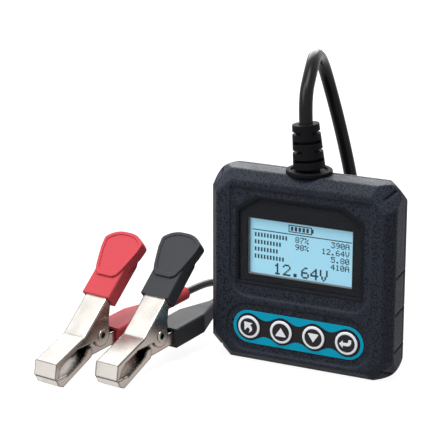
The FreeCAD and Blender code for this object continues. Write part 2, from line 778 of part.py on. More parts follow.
def rear_cover():
    start = S.case_depth - S.rear_depth
    body = shell_cover("rear_cover_body", start, S.case_depth, start, S.case_depth - S.wall)
    rim = edge_names(body.Tip.Shape, lambda edge: lies_at(edge, 1, S.case_depth))
    dress("Fillet", body, rim, S.rear_round)
    inner = edge_names(body.Tip.Shape, lambda edge: lies_at(edge, 1, S.case_depth - S.wall))
    dress("Fillet", body, inner, S.rear_round - S.wall)
    boot_seat(body)
    posts = [Circle(x, z, S.screw_well_radius + S.wall / 2) for x, z in case_screws()]
    pad_back(body, posts, start, S.case_depth - S.wall / 2)
    wells = [Circle(x, z, S.screw_well_radius) for x, z in case_screws()]
    cut_back(body, wells, S.case_depth - S.screw_well_depth, S.case_depth + 1)
    holes = [Circle(x, z, S.case_screw_radius + S.free_gap) for x, z in case_screws()]
    cut_back(body, holes, start - 1, S.case_depth)
    return body


def case():
    """Both covers, with the corner facets and the grooves that run across the joint between them."""
    cutters = fuse("case_cutters", *corner_cutters(), *grip_grooves())
    keep("front_cover", cut("front_cover", front_cover(), cutters))
    keep("rear_cover", cut("rear_cover", rear_cover(), cutters))


# Display

def display():
    lens = case_body("display_lens")
    lens_front = S.recess_depth + S.fit_gap
    mask_front = lens_front + S.lens_thick
    pad_back(lens, [lens_outline()], lens_front, mask_front)
    keep("display_lens", lens)

    mask = case_body("lens_mask")
    pad_back(mask, [lens_outline(), window_outline()], mask_front, mask_front + S.mask_thick)
    keep("lens_mask", mask)

    frame = case_body("lcd_frame")
    flange = S.front_plate + S.fit_gap
    back = flange + S.lcd_frame_depth
    opening = window_outline(-S.lcd_rim / 4)
    pad_back(frame, [window_outline(S.lcd_rim - S.fit_gap), opening], lens_seat() + S.fit_gap, flange + S.wall / 4)
    pad_back(frame, [window_outline(S.lcd_frame_margin), opening], flange, flange + S.lcd_rim)
    pad_back(frame, [window_outline(S.lcd_frame_margin), window_outline(S.lcd_frame_margin - S.lcd_rim)],
             flange + S.lcd_rim, back)
    keep("lcd_frame", frame)

    inside = S.lcd_frame_margin - S.lcd_rim - S.fit_gap
    glass_front = flange + S.lcd_rim + S.fit_gap / 3
    glass_back = glass_front + S.lcd_glass_thick
    glass = case_body("lcd_glass")
    pad_back(glass, [window_outline(inside)], glass_front, glass_back)
    keep("lcd_glass", glass)

    light_front = glass_back + S.fit_gap / 3
    light_back = light_front + S.backlight_thick
    light = case_body("backlight")
    pad_back(light, [window_outline(inside)], light_front, light_back)
    keep("backlight", light)

    pins = []
    pin_row = LENS_BOTTOM + S.window_rise + S.lcd_pin_pitch
    count = int(number(S.lcd_pins))
    for i in range(count):
        x = S.lcd_pin_pitch * (i - (count - 1) / 2)
        pins.append(cylinder("lcd_pin", S.lcd_pin_radius, S.board_depth - light_back, x, depth(light_back),
                             pin_row, ALONG_Y))
    keep("lcd_pins", group("lcd_pins", pins))


# Keypad and circuit board

KEY_NAMES = ("back", "up", "down", "enter")


def keypad():
    overlay = case_body("keypad_overlay")
    outline = Stadium(Dim.of(0), S.key_height, S.pad_half, S.pad_radius)
    holes = [Circle(x, z, S.key_radius + S.free_gap) for x, z in key_places()]
    pad_back(overlay, [outline] + holes, S.recess_depth - S.pad_thick, S.recess_depth)
    keep("keypad_overlay", overlay)

    collar = S.front_plate + S.free_gap / 2
    collar_back = collar + S.key_flange_thick
    switch_front = S.board_depth - S.switch_height
    for name, (x, z) in zip(KEY_NAMES, key_places()):
        key = case_body("key_" + name)
        pad_back(key, [Circle(x, z, S.key_radius)], -S.key_proud, collar)
        front = edge_names(key.Tip.Shape, lambda edge: lies_at(edge, 1, -S.key_proud))
        dress("Fillet", key, front, S.key_edge)
        pad_back(key, [Circle(x, z, S.key_radius + S.key_flange)], collar, collar_back)
        keep("key_" + name, key)
        stem_length = switch_front + S.free_gap - collar_back
        stem = cylinder("stem_" + name, S.stem_radius, stem_length, x, depth(collar_back), z, ALONG_Y)
        keep("stem_" + name, stem)

    switches = []
    half = S.switch_side / 2
    bore_depth = S.key_travel + 2 * S.free_gap
    for x, z in key_places():
        block = box("switch_block", (x - half, depth(switch_front), z - half),
                    (x + half, depth(S.board_depth), z + half))
        bore = cylinder("switch_bore", S.stem_radius + S.fit_gap, bore_depth, x, depth(switch_front), z, ALONG_Y)
        switches.append(cut("tact_switch", block, bore))
    keep("tact_switches", group("tact_switches", switches))


def circuit_board():
    board = case_body("main_board")
    half = BOARD_HALF_WIDTH
    outline = [(-half, S.board_bottom), (half, S.board_bottom), (half, BOARD_TOP), (-half, BOARD_TOP)]
    holes = [Circle(x, z, S.board_screw_radius + S.free_gap) for x, z in board_screws()]
    pad_back(board, [outline] + holes, S.board_depth, BOARD_BACK)
    keep("main_board", board)
    components()
    cable_ends()


def on_board(name, x, z, width, height, thick):
    """A block on the back of the board, from the middle of its footprint."""
    return box(name, (x - width / 2, depth(BOARD_BACK), z - height / 2),
               (x + width / 2, depth(BOARD_BACK + thick), z + height / 2))


def can_on_board(name, x, z, radius, height):
    return cylinder(name, radius, height, x, depth(BOARD_BACK), z, ALONG_Y)


def components():
    chip_z = BOARD_TOP - S.chip_drop
    keep("microcontroller", on_board("microcontroller", S.chip_x, chip_z, S.chip_side, S.chip_side, S.chip_thick))
    buzzer_z = S.board_bottom + S.buzzer_rise
    keep("buzzer", can_on_board("buzzer", S.buzzer_x, buzzer_z, S.buzzer_radius, S.buzzer_height))
    resistors = [on_board("load_resistor", S.resistor_x, S.board_bottom + S.resistor_pitch * row,
                          S.resistor_length, S.resistor_side, S.resistor_side) for row in (1, 2)]
    keep("load_resistors", group("load_resistors", resistors))
    switches = [on_board("transistor", S.transistor_x + S.transistor_pitch * step, BOARD_TOP - S.transistor_drop,
                         S.transistor_width, S.transistor_height, S.transistor_thick) for step in (0, 1)]
    keep("transistors", group("transistors", switches))
    upper = BOARD_TOP - S.capacitor_drop
    half = S.capacitor_pitch / 2
    places = [(S.capacitor_x, upper), (S.capacitor_x - half, upper - S.capacitor_pitch),
              (S.capacitor_x + half, upper - S.capacitor_pitch)]
    cans = [can_on_board("capacitor", x, z, S.capacitor_radius, S.capacitor_height) for x, z in places]
    keep("capacitors", group("capacitors", cans))


def cable_ends():
    """The terminal block at the board's upper edge and the cores that come down to it."""
    terminal = on_board("cable_terminal", Dim.of(0), BOARD_TOP - S.terminal_height / 2, S.terminal_width,
                        S.terminal_height, S.terminal_depth)
    keep("cable_terminal", terminal)
    cores = []
    spread = S.core_radius * 1.14
    jacket_end = boot_top() + S.boot_height - S.cable_seat - S.core_radius
    for side in (-1, 1):
        for row in (-1, 1):
            cores.append(cylinder("cable_core", S.core_radius, jacket_end - BOARD_TOP,
                                  side * spread - S.core_radius * 0.7, row * spread, BOARD_TOP))
    keep("cable_cores", group("cable_cores", cores))


def screw(name, x, z, seat, radius, length, head_radius, head_thick):
    """A cross-head screw whose head rests on a seat at one depth and points to the front."""
    shank = cylinder(name + "_shank", radius, length, x, depth(seat - length), z, ALONG_Y)
    head = cylinder(name + "_head", head_radius, head_thick, x, depth(seat), z, ALONG_Y)
    solid = fuse(name + "_solid", shank, head)
    arm = head_radius * 0.6
    slit = head_radius * 0.14
    bottom = depth(seat + head_thick / 2)
    top = depth(seat + head_thick * 1.5)
    upright = box(name + "_slot", (x - slit, bottom, z - arm), (x + slit, top, z + arm))
    level = box(name + "_slot", (x - arm, bottom, z - slit), (x + arm, top, z + slit))
    return cut(name, solid, fuse(name + "_cross", upright, level))


def screws():
    length = BOARD_BACK - S.front_plate - S.wall
    small = [screw("board_screw", x, z, BOARD_BACK, S.board_screw_radius, length, S.board_post_radius * 0.9,
                   S.board_screw_head) for x, z in board_screws()]
    keep("board_screws", group("board_screws", small))
    seat = S.case_depth - S.screw_well_depth
    length = seat - S.front_plate - 2 * S.wall
    large = [screw("case_screw", x, z, seat, S.case_screw_radius, length, S.screw_well_radius - S.free_gap,
                   S.case_screw_head) for x, z in case_screws()]
    keep("case_screws", group("case_screws", large))


# Cable boot

def boot_top():
    """Height of the top of the boot's flange, where its ribbed part starts."""
    return S.case_height + S.fit_gap + S.boot_flange_thick


def boot_frame():
    """The ribbed part's frame: z along its axis from the top of the flange."""
    lean = Rotation(Vector(0, 1, 0), -number(S.boot_lean))
    twist = Rotation(Vector(0, 0, 1), number(S.boot_twist))
    return Placement(Vector(0, 0, number(boot_top())), lean.multiply(twist))


def core_room():
    """Radius of the hole for the cable's cores."""
    return S.core_radius * 4.6


def turned(body, profile):
    """A solid of revolution round the body's own z axis."""
    sketch = sketch_on(body, "XZ_Plane", [profile])
    turn = body.newObject("PartDesign::Revolution", body.Name + "_turn")
    turn.Profile = sketch
    turn.ReferenceAxis = (sketch, ["V_Axis"])
    turn.Angle = 360
    doc.recompute()


def cable_boot():
    top = S.case_height
    neck_top = top + S.fit_gap
    neck_bottom = top - S.wall - S.fit_gap
    collar_bottom = neck_bottom - S.boot_collar_thick
    rim = S.boot_base_radius + S.boot_dish * 1.2
    base = new_body("boot_base")
    turned(base, [
        (core_room(), collar_bottom), (S.boot_collar_radius, collar_bottom), (S.boot_collar_radius, neck_bottom),
        (S.boot_neck_radius, neck_bottom), (S.boot_neck_radius, neck_top), (S.boot_flange_radius, neck_top),
        (S.boot_flange_radius, boot_top()), (rim, boot_top()), (rim, boot_top() - S.boot_dish),
        (core_room(), boot_top() - S.boot_dish),
    ])
    rounded = edge_names(base.Tip.Shape, lambda edge: lies_at(edge, 2, boot_top()))
    dress("Fillet", base, rounded, S.boot_flange_thick * 0.3)

    frame = boot_frame()
    ribs = new_body("boot_ribs", frame.Base.x, frame.Base.y, frame.Base.z, frame.Rotation)
    foot = -1.8 * S.boot_dish
    seat = S.cable_radius + S.fit_gap
    seat_floor = S.boot_height - S.cable_seat - S.fit_gap
    turned(ribs, [
        (core_room(), foot), (S.boot_core_radius, foot), (S.boot_core_radius, S.boot_dish),
        (S.boot_base_radius, S.boot_dish), (S.boot_tip_radius, S.boot_height), (seat, S.boot_height),
        (seat, seat_floor), (core_room(), seat_floor),
    ])
    rows = int(number(S.boot_slots))
    pitch = S.boot_height / (rows + 1)
    outside = S.boot_base_radius + 1
    for row in range(1, rows + 1):
        low = pitch * row - S.boot_slot_height * 0.2
        high = low + S.boot_slot_height
        slot = [(S.boot_core_radius, low), (outside, low), (outside, high), (S.boot_core_radius, high)]
        before = solid_volume(ribs)
        sketch = sketch_on(ribs, "YZ_Plane" if row % 2 else "XZ_Plane", [slot])
        groove = ribs.newObject("PartDesign::Groove", "boot_slot")
        groove.Profile = sketch
        groove.ReferenceAxis = (sketch, ["V_Axis"])
        bind(groove, "Angle", S.boot_slot_sweep)
        groove.Midplane = True
        doc.recompute()
        pair = ribs.newObject("PartDesign::PolarPattern", "boot_slot_pair")
        pair.Originals = [groove]
        pair.Axis = (sketch, ["V_Axis"])
        pair.Angle = 360
        pair.Occurrences = 2
        ribs.Tip = pair
        doc.recompute()
        if pair.Shape.Volume > before - 1:
            raise ValueError("a slot of the boot cuts nothing")
    keep("cable_boot", fuse("cable_boot", base, ribs))


# Cable, splitter and leads

def route_wire(points):
    """Straight runs joined by tangent arcs, each as large as its two runs allow; returns wire and radii."""
    points = [Vector(*point) for point in points]
    edges = []
    radii = []
    start = points[0]
    for before, here, after in zip(points, points[1:], points[2:]):
        back = before - here
        ahead = after - here
        turn = math.pi - back.getAngle(ahead)
        reach = 0.45 * min(back.Length, ahead.Length)
        radii.append(reach / math.tan(turn / 2))
        back.normalize()
        ahead.normalize()
        enter = here + back * reach
        leave = here + ahead * reach
        inward = (back + ahead).normalize()
        crown = here + inward * (radii[-1] / math.cos(turn / 2) - radii[-1])
        edges.append(Part.LineSegment(start, enter).toShape())
        edges.append(Part.Arc(enter, crown, leave).toShape())
        start = leave
    edges.append(Part.LineSegment(start, points[-1]).toShape())
    return Part.Wire(edges), radii


def tube(label, wire, radius):
    """A round tube along a wire, kept as a piece; its volume is compared with section times length."""
    first = wire.Edges[0]
    ring = Part.Circle(first.valueAt(first.FirstParameter), first.tangentAt(first.FirstParameter), radius)
    shape = wire.makePipeShell([Part.Wire([ring.toShape()])], True, False)
    expected = math.pi * radius ** 2 * wire.Length
    if abs(shape.Volume / expected - 1) > 0.01:
        raise ValueError("%s has the wrong volume" % label)
    feature = doc.addObject("Part::Feature", label)
    feature.Shape = shape
    keep(label, feature)
    return feature


def cord(label, points, radius):
    wire, radii = route_wire(points)
    tube(label, wire, radius)
    print(label, "length %.1f" % wire.Length, "radii", " ".join("%.0f" % value for value in radii))


def splitter_frame():
    """Origin at the splitter's cable face, local y towards the leads."""
    before = Vector(*CABLE_ROUTE[-1])
    heading = SPLITTER_FACE - before
    angle = math.degrees(math.atan2(-heading.x, heading.y))
    return Placement(SPLITTER_FACE, Rotation(Vector(0, 0, 1), angle))


def lead_gap():
    """Half the distance between the two leads in the splitter."""
    return (S.splitter_half_width - S.wall / 2) / 2


def splitter():
    frame = splitter_frame()
    body = new_body("cable_splitter", frame.Base.x, frame.Base.y, frame.Base.z, frame.Rotation)
    throat = S.cable_radius + S.wall / 2 + S.fit_gap
    half = S.splitter_half_width
    shoulder = S.splitter_length * 0.42
    outline = [(-throat, 0), (throat, 0), (half, shoulder), (half, S.splitter_length),
               (-half, S.splitter_length), (-half, shoulder)]
    high = S.splitter_height / 2
    pad_up(body, [outline], -high, high)
    long_edges = edge_names(body.Tip.Shape, lambda edge: not runs_along(edge, 2)
                            and not runs_along(edge, 0))
    dress("Fillet", body, long_edges, S.splitter_height * 0.28)
    cut_back(body, [Circle(Dim.of(0), Dim.of(0), S.cable_radius + S.fit_gap)], Dim.of(-1), S.splitter_seat)
    seats = [Circle(side * lead_gap(), Dim.of(0), S.lead_radius + S.fit_gap) for side in (-1, 1)]
    cut_back(body, seats, S.splitter_length - S.splitter_seat, S.splitter_length + 1)
    keep("cable_splitter", body)


def cords():
    boot = boot_frame()
    start = boot.multVec(Vector(0, 0, number(S.boot_height - S.cable_seat)))
    straight = boot.multVec(Vector(0, 0, number(S.boot_height + S.cable_rise)))
    frame = splitter_frame()
    seat = number(S.splitter_seat)
    finish = frame.multVec(Vector(0, seat, 0))
    cord("main_cable", (tuple(start), tuple(straight)) + CABLE_ROUTE + (tuple(finish),), number(S.cable_radius))
    for colour, side in (("red", 1), ("black", -1)):
        clip = clip_frame(colour)
        aside = side * number(lead_gap())
        first = clip.multVec(grip_point(S.sleeve_length - S.lead_seat))
        second = clip.multVec(grip_point(S.sleeve_length + S.lead_straight))
        out = frame.multVec(Vector(aside, number(S.splitter_length + S.splitter_straight), 0))
        end = frame.multVec(Vector(aside, number(S.splitter_length) - seat, 0))
        points = (tuple(first), tuple(second)) + LEAD_ROUTES[colour] + (tuple(out), tuple(end))
        cord(colour + "_lead", points, number(S.lead_radius))


# Clips. In a clip's own frame x is across, y runs back from the lower tip and z is up.

CLIPS = {
    "red": (S.red_aside, S.red_ahead, S.red_turn),
    "black": (S.black_aside, S.black_ahead, S.black_turn),
}


def clip_frame(colour):
    """Origin where the clip's lower tip touches the table."""
    aside, ahead, turn = CLIPS[colour]
    tip = Vector(-number(S.case_width / 2 + aside), number(depth(-ahead)), 0)
    return Placement(tip, Rotation(Vector(0, 0, 1), -number(turn)))


def clip_body(colour, name, inner=Placement()):
    frame = clip_frame(colour).multiply(inner)
    return new_body(colour + "_" + name, frame.Base.x, frame.Base.y, frame.Base.z, frame.Rotation)


def upper_frame():
    """The upper arm's frame: y along the arm from its bend, z out of its plate."""
    return Placement(Vector(0, number(S.kink_back), number(S.kink_height)),
                     Rotation(Vector(1, 0, 0), number(S.arm_slope)))


def lower_frame():
    """The lower arm's frame: y along the arm from the grip's front, z = 0 on the steel's underside."""
    run = S.lower_grip_start - S.heel_back
    rise = number(run) * math.tan(math.radians(number(S.lower_slope)))
    return Placement(Vector(0, number(S.lower_grip_start), number(S.heel_height) + rise),
                     Rotation(Vector(1, 0, 0), number(S.lower_slope)))


def crimp_radius():
    return S.lead_radius + S.sheet_metal * 0.9


def lead_rise():
    """Height of the lead's axis above the underside of the lower arm's steel."""
    return S.sheet_metal + S.fit_gap + crimp_radius()


def grip_point(along):
    """A point of the lead's axis inside the lower grip, in the clip's frame."""
    return lower_frame().multVec(Vector(0, number(along), number(lead_rise())))


def nose_tip():
    return (S.kink_back - S.nose_length * cosine(S.nose_slope), S.kink_height - S.nose_length * sine(S.nose_slope))


def on_nose(along, below):
    """A point a distance behind the nose's top edge and below the nose's plate."""
    u, z = nose_tip()
    return (u + along * cosine(S.nose_slope) + below * sine(S.nose_slope),
            z + along * sine(S.nose_slope) - below * cosine(S.nose_slope))


def on_arm(along, below):
    """A point a distance behind the bend and below the arm's plate."""
    return (S.kink_back + along * cosine(S.arm_slope) + below * sine(S.arm_slope),
            S.kink_height + along * sine(S.arm_slope) - below * cosine(S.arm_slope))


def upper_jaw(colour):
    body = clip_body(colour, "upper_jaw")
    front_u, front_z = nose_tip()
    foot = (front_u - S.nose_rake, front_z - S.nose_drop)
    web_top = on_arm(S.grip_start - S.fit_gap, S.arm_depth)
    saw = []
    first = S.nose_length * 0.2
    for i in range(int(number(S.teeth))):
        saw.append(on_nose(first + S.tooth_pitch * i, S.nose_strip + S.tooth_depth))
        saw.append(on_nose(first + S.tooth_pitch * (i + 0.5), S.nose_strip))
    outline = [
        nose_tip(), (S.kink_back, S.kink_height), on_arm(S.arm_length, 0), on_arm(S.arm_length, S.arm_depth),
        web_top, (S.pivot_back + S.ear_radius * 0.9, S.pivot_height + S.ear_radius),
        (S.pivot_back + S.ear_radius * 0.97, S.pivot_height), (S.pivot_back - S.ear_radius * 0.9, S.pivot_height - 2),
        (S.heel_back - S.sheet_metal, S.pivot_height - 2),
    ]
    outline += list(reversed(saw))
    outline += [on_nose(S.nose_strip, S.nose_strip * 1.6), (foot[0] + S.nose_strip * 0.8, foot[1]), foot]
    pad_across(body, [outline], S.jaw_width)
    pad_across(body, [Circle(S.pivot_back, S.pivot_height, S.ear_radius)], S.jaw_width)
    deep = Dim.of(-40)
    tilt = (S.arm_slope.value - S.nose_slope.value) / 2
    mitre = S.sheet_metal * math.tan(math.radians(tilt))
    hollow = [
        on_nose(S.sheet_metal, S.sheet_metal), on_nose(S.nose_length + mitre, S.sheet_metal),
        on_arm(S.arm_length + 5, S.sheet_metal), (S.kink_back + S.arm_length, deep),
        (foot[0] + S.sheet_metal, deep), (foot[0] + S.sheet_metal, foot[1]),
    ]
    cut_across(body, [hollow], S.jaw_width - 2 * S.sheet_metal)
    cut_across(body, [Circle(S.pivot_back, S.pivot_height, S.rivet_radius + S.fit_gap)], S.jaw_width + 2)
    folds = edge_names(body.Tip.Shape, lambda edge: is_outer_fold(edge))
    dress("Fillet", body, folds, S.sheet_metal * 0.8)
    keep(colour + "_upper_jaw", body)


def is_outer_fold(edge):
    """True for the long outer edges of the upper jaw's plate, where the sheet is folded down."""
    if abs(abs(middle_of(edge).x) - number(S.jaw_width) / 2) > 1e-3:
        return False
    ends = [vertex.Point for vertex in edge.Vertexes]
    corners = [nose_tip(), (S.kink_back, S.kink_height), on_arm(S.arm_length, 0)]

    def at_corner(point):
        return any(math.hypot(point.y - number(u), point.z - number(z)) < 1e-3 for u, z in corners)

    return len(ends) == 2 and all(at_corner(point) for point in ends)


def lower_line(u):
    """Height of the underside of the lower arm behind its heel."""
    slope = math.tan(math.radians(S.lower_slope.value))
    return S.heel_height + (u - S.heel_back) * slope


def lower_jaw(colour):
    body = clip_body(colour, "lower_jaw")
    inner_width = S.jaw_width - 2 * S.sheet_metal - 2 * S.nest_gap
    slope = S.scoop_height / S.scoop_back
    saw = []
    for i in range(int(number(S.teeth))):
        for shift, dip in ((0.5, 0), (0, S.tooth_depth)):
            u = S.scoop_back * 0.16 + S.tooth_pitch * (i + shift)
            saw.append((u, u * slope + S.scoop_wall - dip))
    lip = -S.nose_drop * 0.66
    scoop = [
        (lip, S.lip_height), (lip * 0.6, S.lip_height * 0.27), (0, 0), (S.scoop_back, S.scoop_height),
        (S.heel_back, S.heel_height), (S.heel_back, S.pivot_height - 4), (S.scoop_back + 2, S.pivot_height - 4.6),
        (S.scoop_back, S.scoop_height + S.scoop_wall),
    ]
    scoop += list(reversed(saw))
    scoop += [(lip * 0.72, S.lip_height)]
    pad_across(body, [scoop], S.jaw_width)
    end = S.lower_end
    arm = [
        (S.scoop_back + 3, S.scoop_height + 1.2), (S.heel_back, S.heel_height), (end, lower_line(end)),
        (end, lower_line(end) + S.lower_wall),
        (S.pivot_back + S.ear_radius + 2, lower_line(S.pivot_back + S.ear_radius + 2) + S.lower_wall),
        (S.pivot_back + S.ear_radius * 0.97, S.pivot_height), (S.pivot_back - S.ear_radius * 0.97, S.pivot_height),
        (S.scoop_back + 3, S.pivot_height - 4.4),
    ]
    pad_across(body, [arm], inner_width)
    pad_across(body, [Circle(S.pivot_back, S.pivot_height, S.ear_radius)], inner_width)
    high = Dim.of(40)
    metal = S.sheet_metal
    hollow_front = [
        (lip + metal * 1.1, high), (lip + metal * 1.1, S.lip_height),
        (lip * 0.6 + metal * 0.8, S.lip_height * 0.27 + metal * 0.7), (metal * 0.2, metal),
        (S.scoop_back - metal * 0.3, S.scoop_height + metal), (S.heel_back - metal, S.heel_height + metal * 0.7),
        (S.heel_back - metal, high),
    ]
    cut_across(body, [hollow_front], S.jaw_width - 2 * metal)
    hollow_rear = [
        (S.heel_back - metal * 2, high), (S.heel_back - metal * 2, S.heel_height + metal * 0.6),
        (S.heel_back, S.heel_height + metal), (end + 5, lower_line(end + 5) + metal), (end + 5, high),
    ]
    cut_across(body, [hollow_rear], inner_width - 2 * metal)
    cut_across(body, [Circle(S.pivot_back, S.pivot_height, S.rivet_radius + S.fit_gap / 3)], S.jaw_width + 2)
    keep(colour + "_lower_jaw", body)


def pivot_rivet(colour):
    body = clip_body(colour, "pivot_rivet")
    middle = Circle(S.pivot_back, S.pivot_height, S.rivet_radius)
    head = Circle(S.pivot_back, S.pivot_height, S.rivet_head)
    grip = S.jaw_width + 2 * S.fit_gap
    pad_across(body, [head], grip + 2 * S.rivet_head_thick)
    edges = edge_names(body.Tip.Shape, lambda edge: isinstance(edge.Curve, Part.Circle))
    dress("Fillet", body, edges, S.rivet_head_thick * 0.8)
    ring = [Circle(S.pivot_back, S.pivot_height, S.rivet_head + 2), middle]
    cut_across(body, ring, grip)
    cut_across(body, [Circle(S.pivot_back, S.pivot_height, S.rivet_bore)], grip + 4)
    keep(colour + "_pivot_rivet", body)


def tangent_arc(start, heading, end):
    """The arc that leaves start along heading and reaches end."""
    chord = end - start
    lift = heading - chord * (heading.dot(chord) / chord.dot(chord))
    angle = heading.getAngle(chord)
    lift.normalize()
    crown = start + chord * 0.5 + lift * (chord.Length / 2 * math.tan(angle / 2))
    return Part.Arc(start, crown, end).toShape()


def biarc(start, start_heading, end, end_heading):
    """Two tangent arcs between two points with given headings."""
    span = end - start
    both = start_heading + end_heading
    spread = 2 * (1 - start_heading.dot(end_heading))
    along = span.dot(both)
    reach = (math.sqrt(along ** 2 + spread * span.dot(span)) - along) / spread
    joint = (start + start_heading * reach + end - end_heading * reach) * 0.5
    second = tangent_arc(end, -end_heading, joint)
    return [tangent_arc(start, start_heading, joint), second]


def spring_leg(start, along, on_face, turn):
    """How far a leg runs until its end is a clearance short of a face that is turned from the level."""
    normal = turn.multVec(Vector(0, 0, 1))
    clear = number(S.spring_wire) / 2 + number(S.free_gap)
    return ((start - on_face).dot(normal) - clear) / -along.dot(normal)


def spring_path():
    """Leg on the upper plate, turns round the rivet, leg on the lower floor, in the clip's frame."""
    wire = number(S.spring_wire)
    radius = number(S.rivet_radius) + number(S.free_gap) * 2 + wire / 2
    turns = number(S.spring_turns)
    pitch = number(S.spring_pitch)
    centre = Vector(0, number(S.pivot_back), number(S.pivot_height))
    start_angle = math.radians(-40)
    sweep = 2 * math.pi * turns + math.radians(100)

    def at(angle):
        x = pitch * (angle - start_angle) / (2 * math.pi) - pitch * sweep / (4 * math.pi)
        return centre + Vector(x, radius * math.cos(angle), radius * math.sin(angle))

    def heading(angle):
        vector = Vector(pitch / (2 * math.pi), -radius * math.sin(angle), radius * math.cos(angle))
        return vector.normalize()

    quarters = int(math.ceil(sweep / (math.pi / 2)))
    angles = [start_angle + sweep * i / quarters for i in range(quarters + 1)]
    first = at(angles[0])
    down = -heading(angles[0])
    heel = Vector(0, number(S.heel_back), number(S.heel_height) + number(S.sheet_metal))
    lower_leg = spring_leg(first, down, heel, Rotation(Vector(1, 0, 0), number(S.lower_slope)))
    edges = [Part.LineSegment(first + down * lower_leg, first).toShape()]
    for low, high in zip(angles, angles[1:]):
        edges += biarc(at(low), heading(low), at(high), heading(high))
    last = at(angles[-1])
    up = heading(angles[-1])
    plate = upper_frame().multVec(Vector(0, 0, -number(S.sheet_metal)))
    upper_leg = spring_leg(last, up, plate, Rotation(Vector(1, 0, 0), number(S.arm_slope) + 180))
    edges.append(Part.LineSegment(last, last + up * upper_leg).toShape())
    return Part.Wire(Part.__sortEdges__(edges)), pitch - wire


def torsion_spring(colour):
    wire, gap = spring_path()
    feature = tube(colour + "_torsion_spring", wire, number(S.spring_wire) / 2)
    feature.Placement = clip_frame(colour)
    print(colour, "spring: least gap between turns %.2f" % gap)


def paddle(share):
    """The thumb pad seen from above, shrunk to a share of its size."""
    half = S.paddle_half_width
    front = S.grip_start + S.paddle_start
    back = S.grip_start + S.grip_length
    middle = S.grip_start + S.grip_length * 0.7
    side = [
        (half * 0.37, front), (half * 0.56, front + 1.7), (half * 0.68, front + 5.5), (half * 0.81, front + 11.2),
        (half * 0.94, front + 17.4), (half, back - half * 0.41), (half * 0.585, back),
    ]
    points = side + [(-x, y) for x, y in reversed(side)]
    return [(x * share, middle + (y - middle) * share) for x, y in points]


def round_tail(body, share, low, high):
    """Round the thumb pad's outline: a wide curve at its end, small curves at its sides."""
    outline = paddle(share)
    count = len(outline)

    def corner_edges(index):
        spots = [outline[index], outline[count - 1 - index]]

        def at_corner(edge):
            point = middle_of(edge)
            near = any(math.hypot(point.x - number(x), point.y - number(y)) < 1e-3 for x, y in spots)
            return near and runs_along(edge, 2) and number(low) < point.z < number(high)

        return edge_names(body.Tip.Shape, at_corner)

    dress("Fillet", body, corner_edges(6), S.paddle_half_width * 1.1 * share)
    dress("Fillet", body, corner_edges(5), S.paddle_half_width * 0.2 * share)


def upper_grip(colour):
    """A soft sleeve over the upper arm with a raised thumb pad; y along the arm, z out of the plate."""
    body = clip_body(colour, "upper_grip", upper_frame())
    start = S.grip_start
    end = start + S.grip_length
    low = -S.grip_under
    high = S.grip_wall + S.fit_gap
    crest = high + S.paddle_rise
    wing = -S.paddle_under
    pad_up(body, [paddle(1)], wing, crest)
    round_tail(body, 1, wing, crest)
    side_view = [(start, low), (start + S.grip_length * 0.6, low), (end - S.grip_wall * 4, wing + 0.5),
                 (end - S.grip_wall * 4, high), (start, high)]
    pad_across(body, [side_view], 2 * S.grip_half_width)
    cut_up(body, [paddle(S.paddle_inner)], crest - S.paddle_dish, crest + 1)
    round_tail(body, S.paddle_inner, crest - S.paddle_dish, crest + 1)
    crown = edge_names(body.Tip.Shape, lambda edge: lies_at(edge, 2, crest))
    dress("Fillet", body, crown, S.paddle_dish * 0.6)
    corners = edge_names(body.Tip.Shape, lambda edge: runs_along(edge, 1)
                         and abs(abs(middle_of(edge).x) - number(S.grip_half_width)) < 1e-3
                         and (lies_at(edge, 2, low) or middle_of(edge).y < number(start + S.paddle_start)))
    dress("Fillet", body, corners, S.grip_wall * 0.75)
    room = S.jaw_width / 2 + S.fit_gap
    stop = S.arm_length + S.fit_gap * 2
    pocket = [(-room, start - 1), (room, start - 1), (room, stop), (-room, stop)]
    cut_up(body, [pocket], -(S.arm_depth + S.fit_gap), S.fit_gap)
    keep(colour + "_upper_grip", body)


def lower_grip(colour):
    """A soft sleeve over the lower arm that tapers to a cable sleeve; z = 0 on the steel's underside."""
    body = clip_body(colour, "lower_grip", lower_frame())
    half = S.lower_grip_width / 2
    low = -S.lower_grip_under
    high = S.lower_wall + S.lower_grip_over
    box_end = S.lower_grip_box
    taper_end = box_end + S.lower_grip_taper
    axis = lead_rise()
    thin = S.sleeve_radius
    block = RoundBox(-half, half, low, high, S.lower_grip_over)
    neck = RoundBox(-thin, thin, axis - thin, axis + thin, thin * 0.9)
    pad_back(body, [block], Dim.of(0), box_end)
    loft = body.newObject("PartDesign::AdditiveLoft", body.Name + "_taper")
    loft.Profile = sketch_on(body, "XZ_Plane", [block], -box_end)
    loft.Sections = [sketch_on(body, "XZ_Plane", [neck], -taper_end)]
    loft.Ruled = True
    doc.recompute()
    pad_back(body, [Circle(Dim.of(0), axis, thin)], taper_end - 2, S.sleeve_length)
    room = (S.jaw_width - 2 * S.sheet_metal - 2 * S.nest_gap) / 2 + S.fit_gap
    steel_end = S.lower_end - S.lower_grip_start + S.fit_gap * 2
    steel_end = steel_end + S.sheet_metal
    channel = [(-room, -S.fit_gap), (room, -S.fit_gap), (room, S.lower_wall + S.fit_gap),
               (-room, S.lower_wall + S.fit_gap)]
    cut_back(body, [channel], Dim.of(-1), steel_end)
    seat = S.sleeve_length - S.lead_seat
    cut_back(body, [Circle(Dim.of(0), axis, S.lead_radius * 0.55 + S.fit_gap)], steel_end - 1, seat + 1)
    cut_back(body, [Circle(Dim.of(0), axis, S.lead_radius + S.fit_gap)], seat - S.fit_gap, S.sleeve_length + 1)
    keep(colour + "_lower_grip", body)


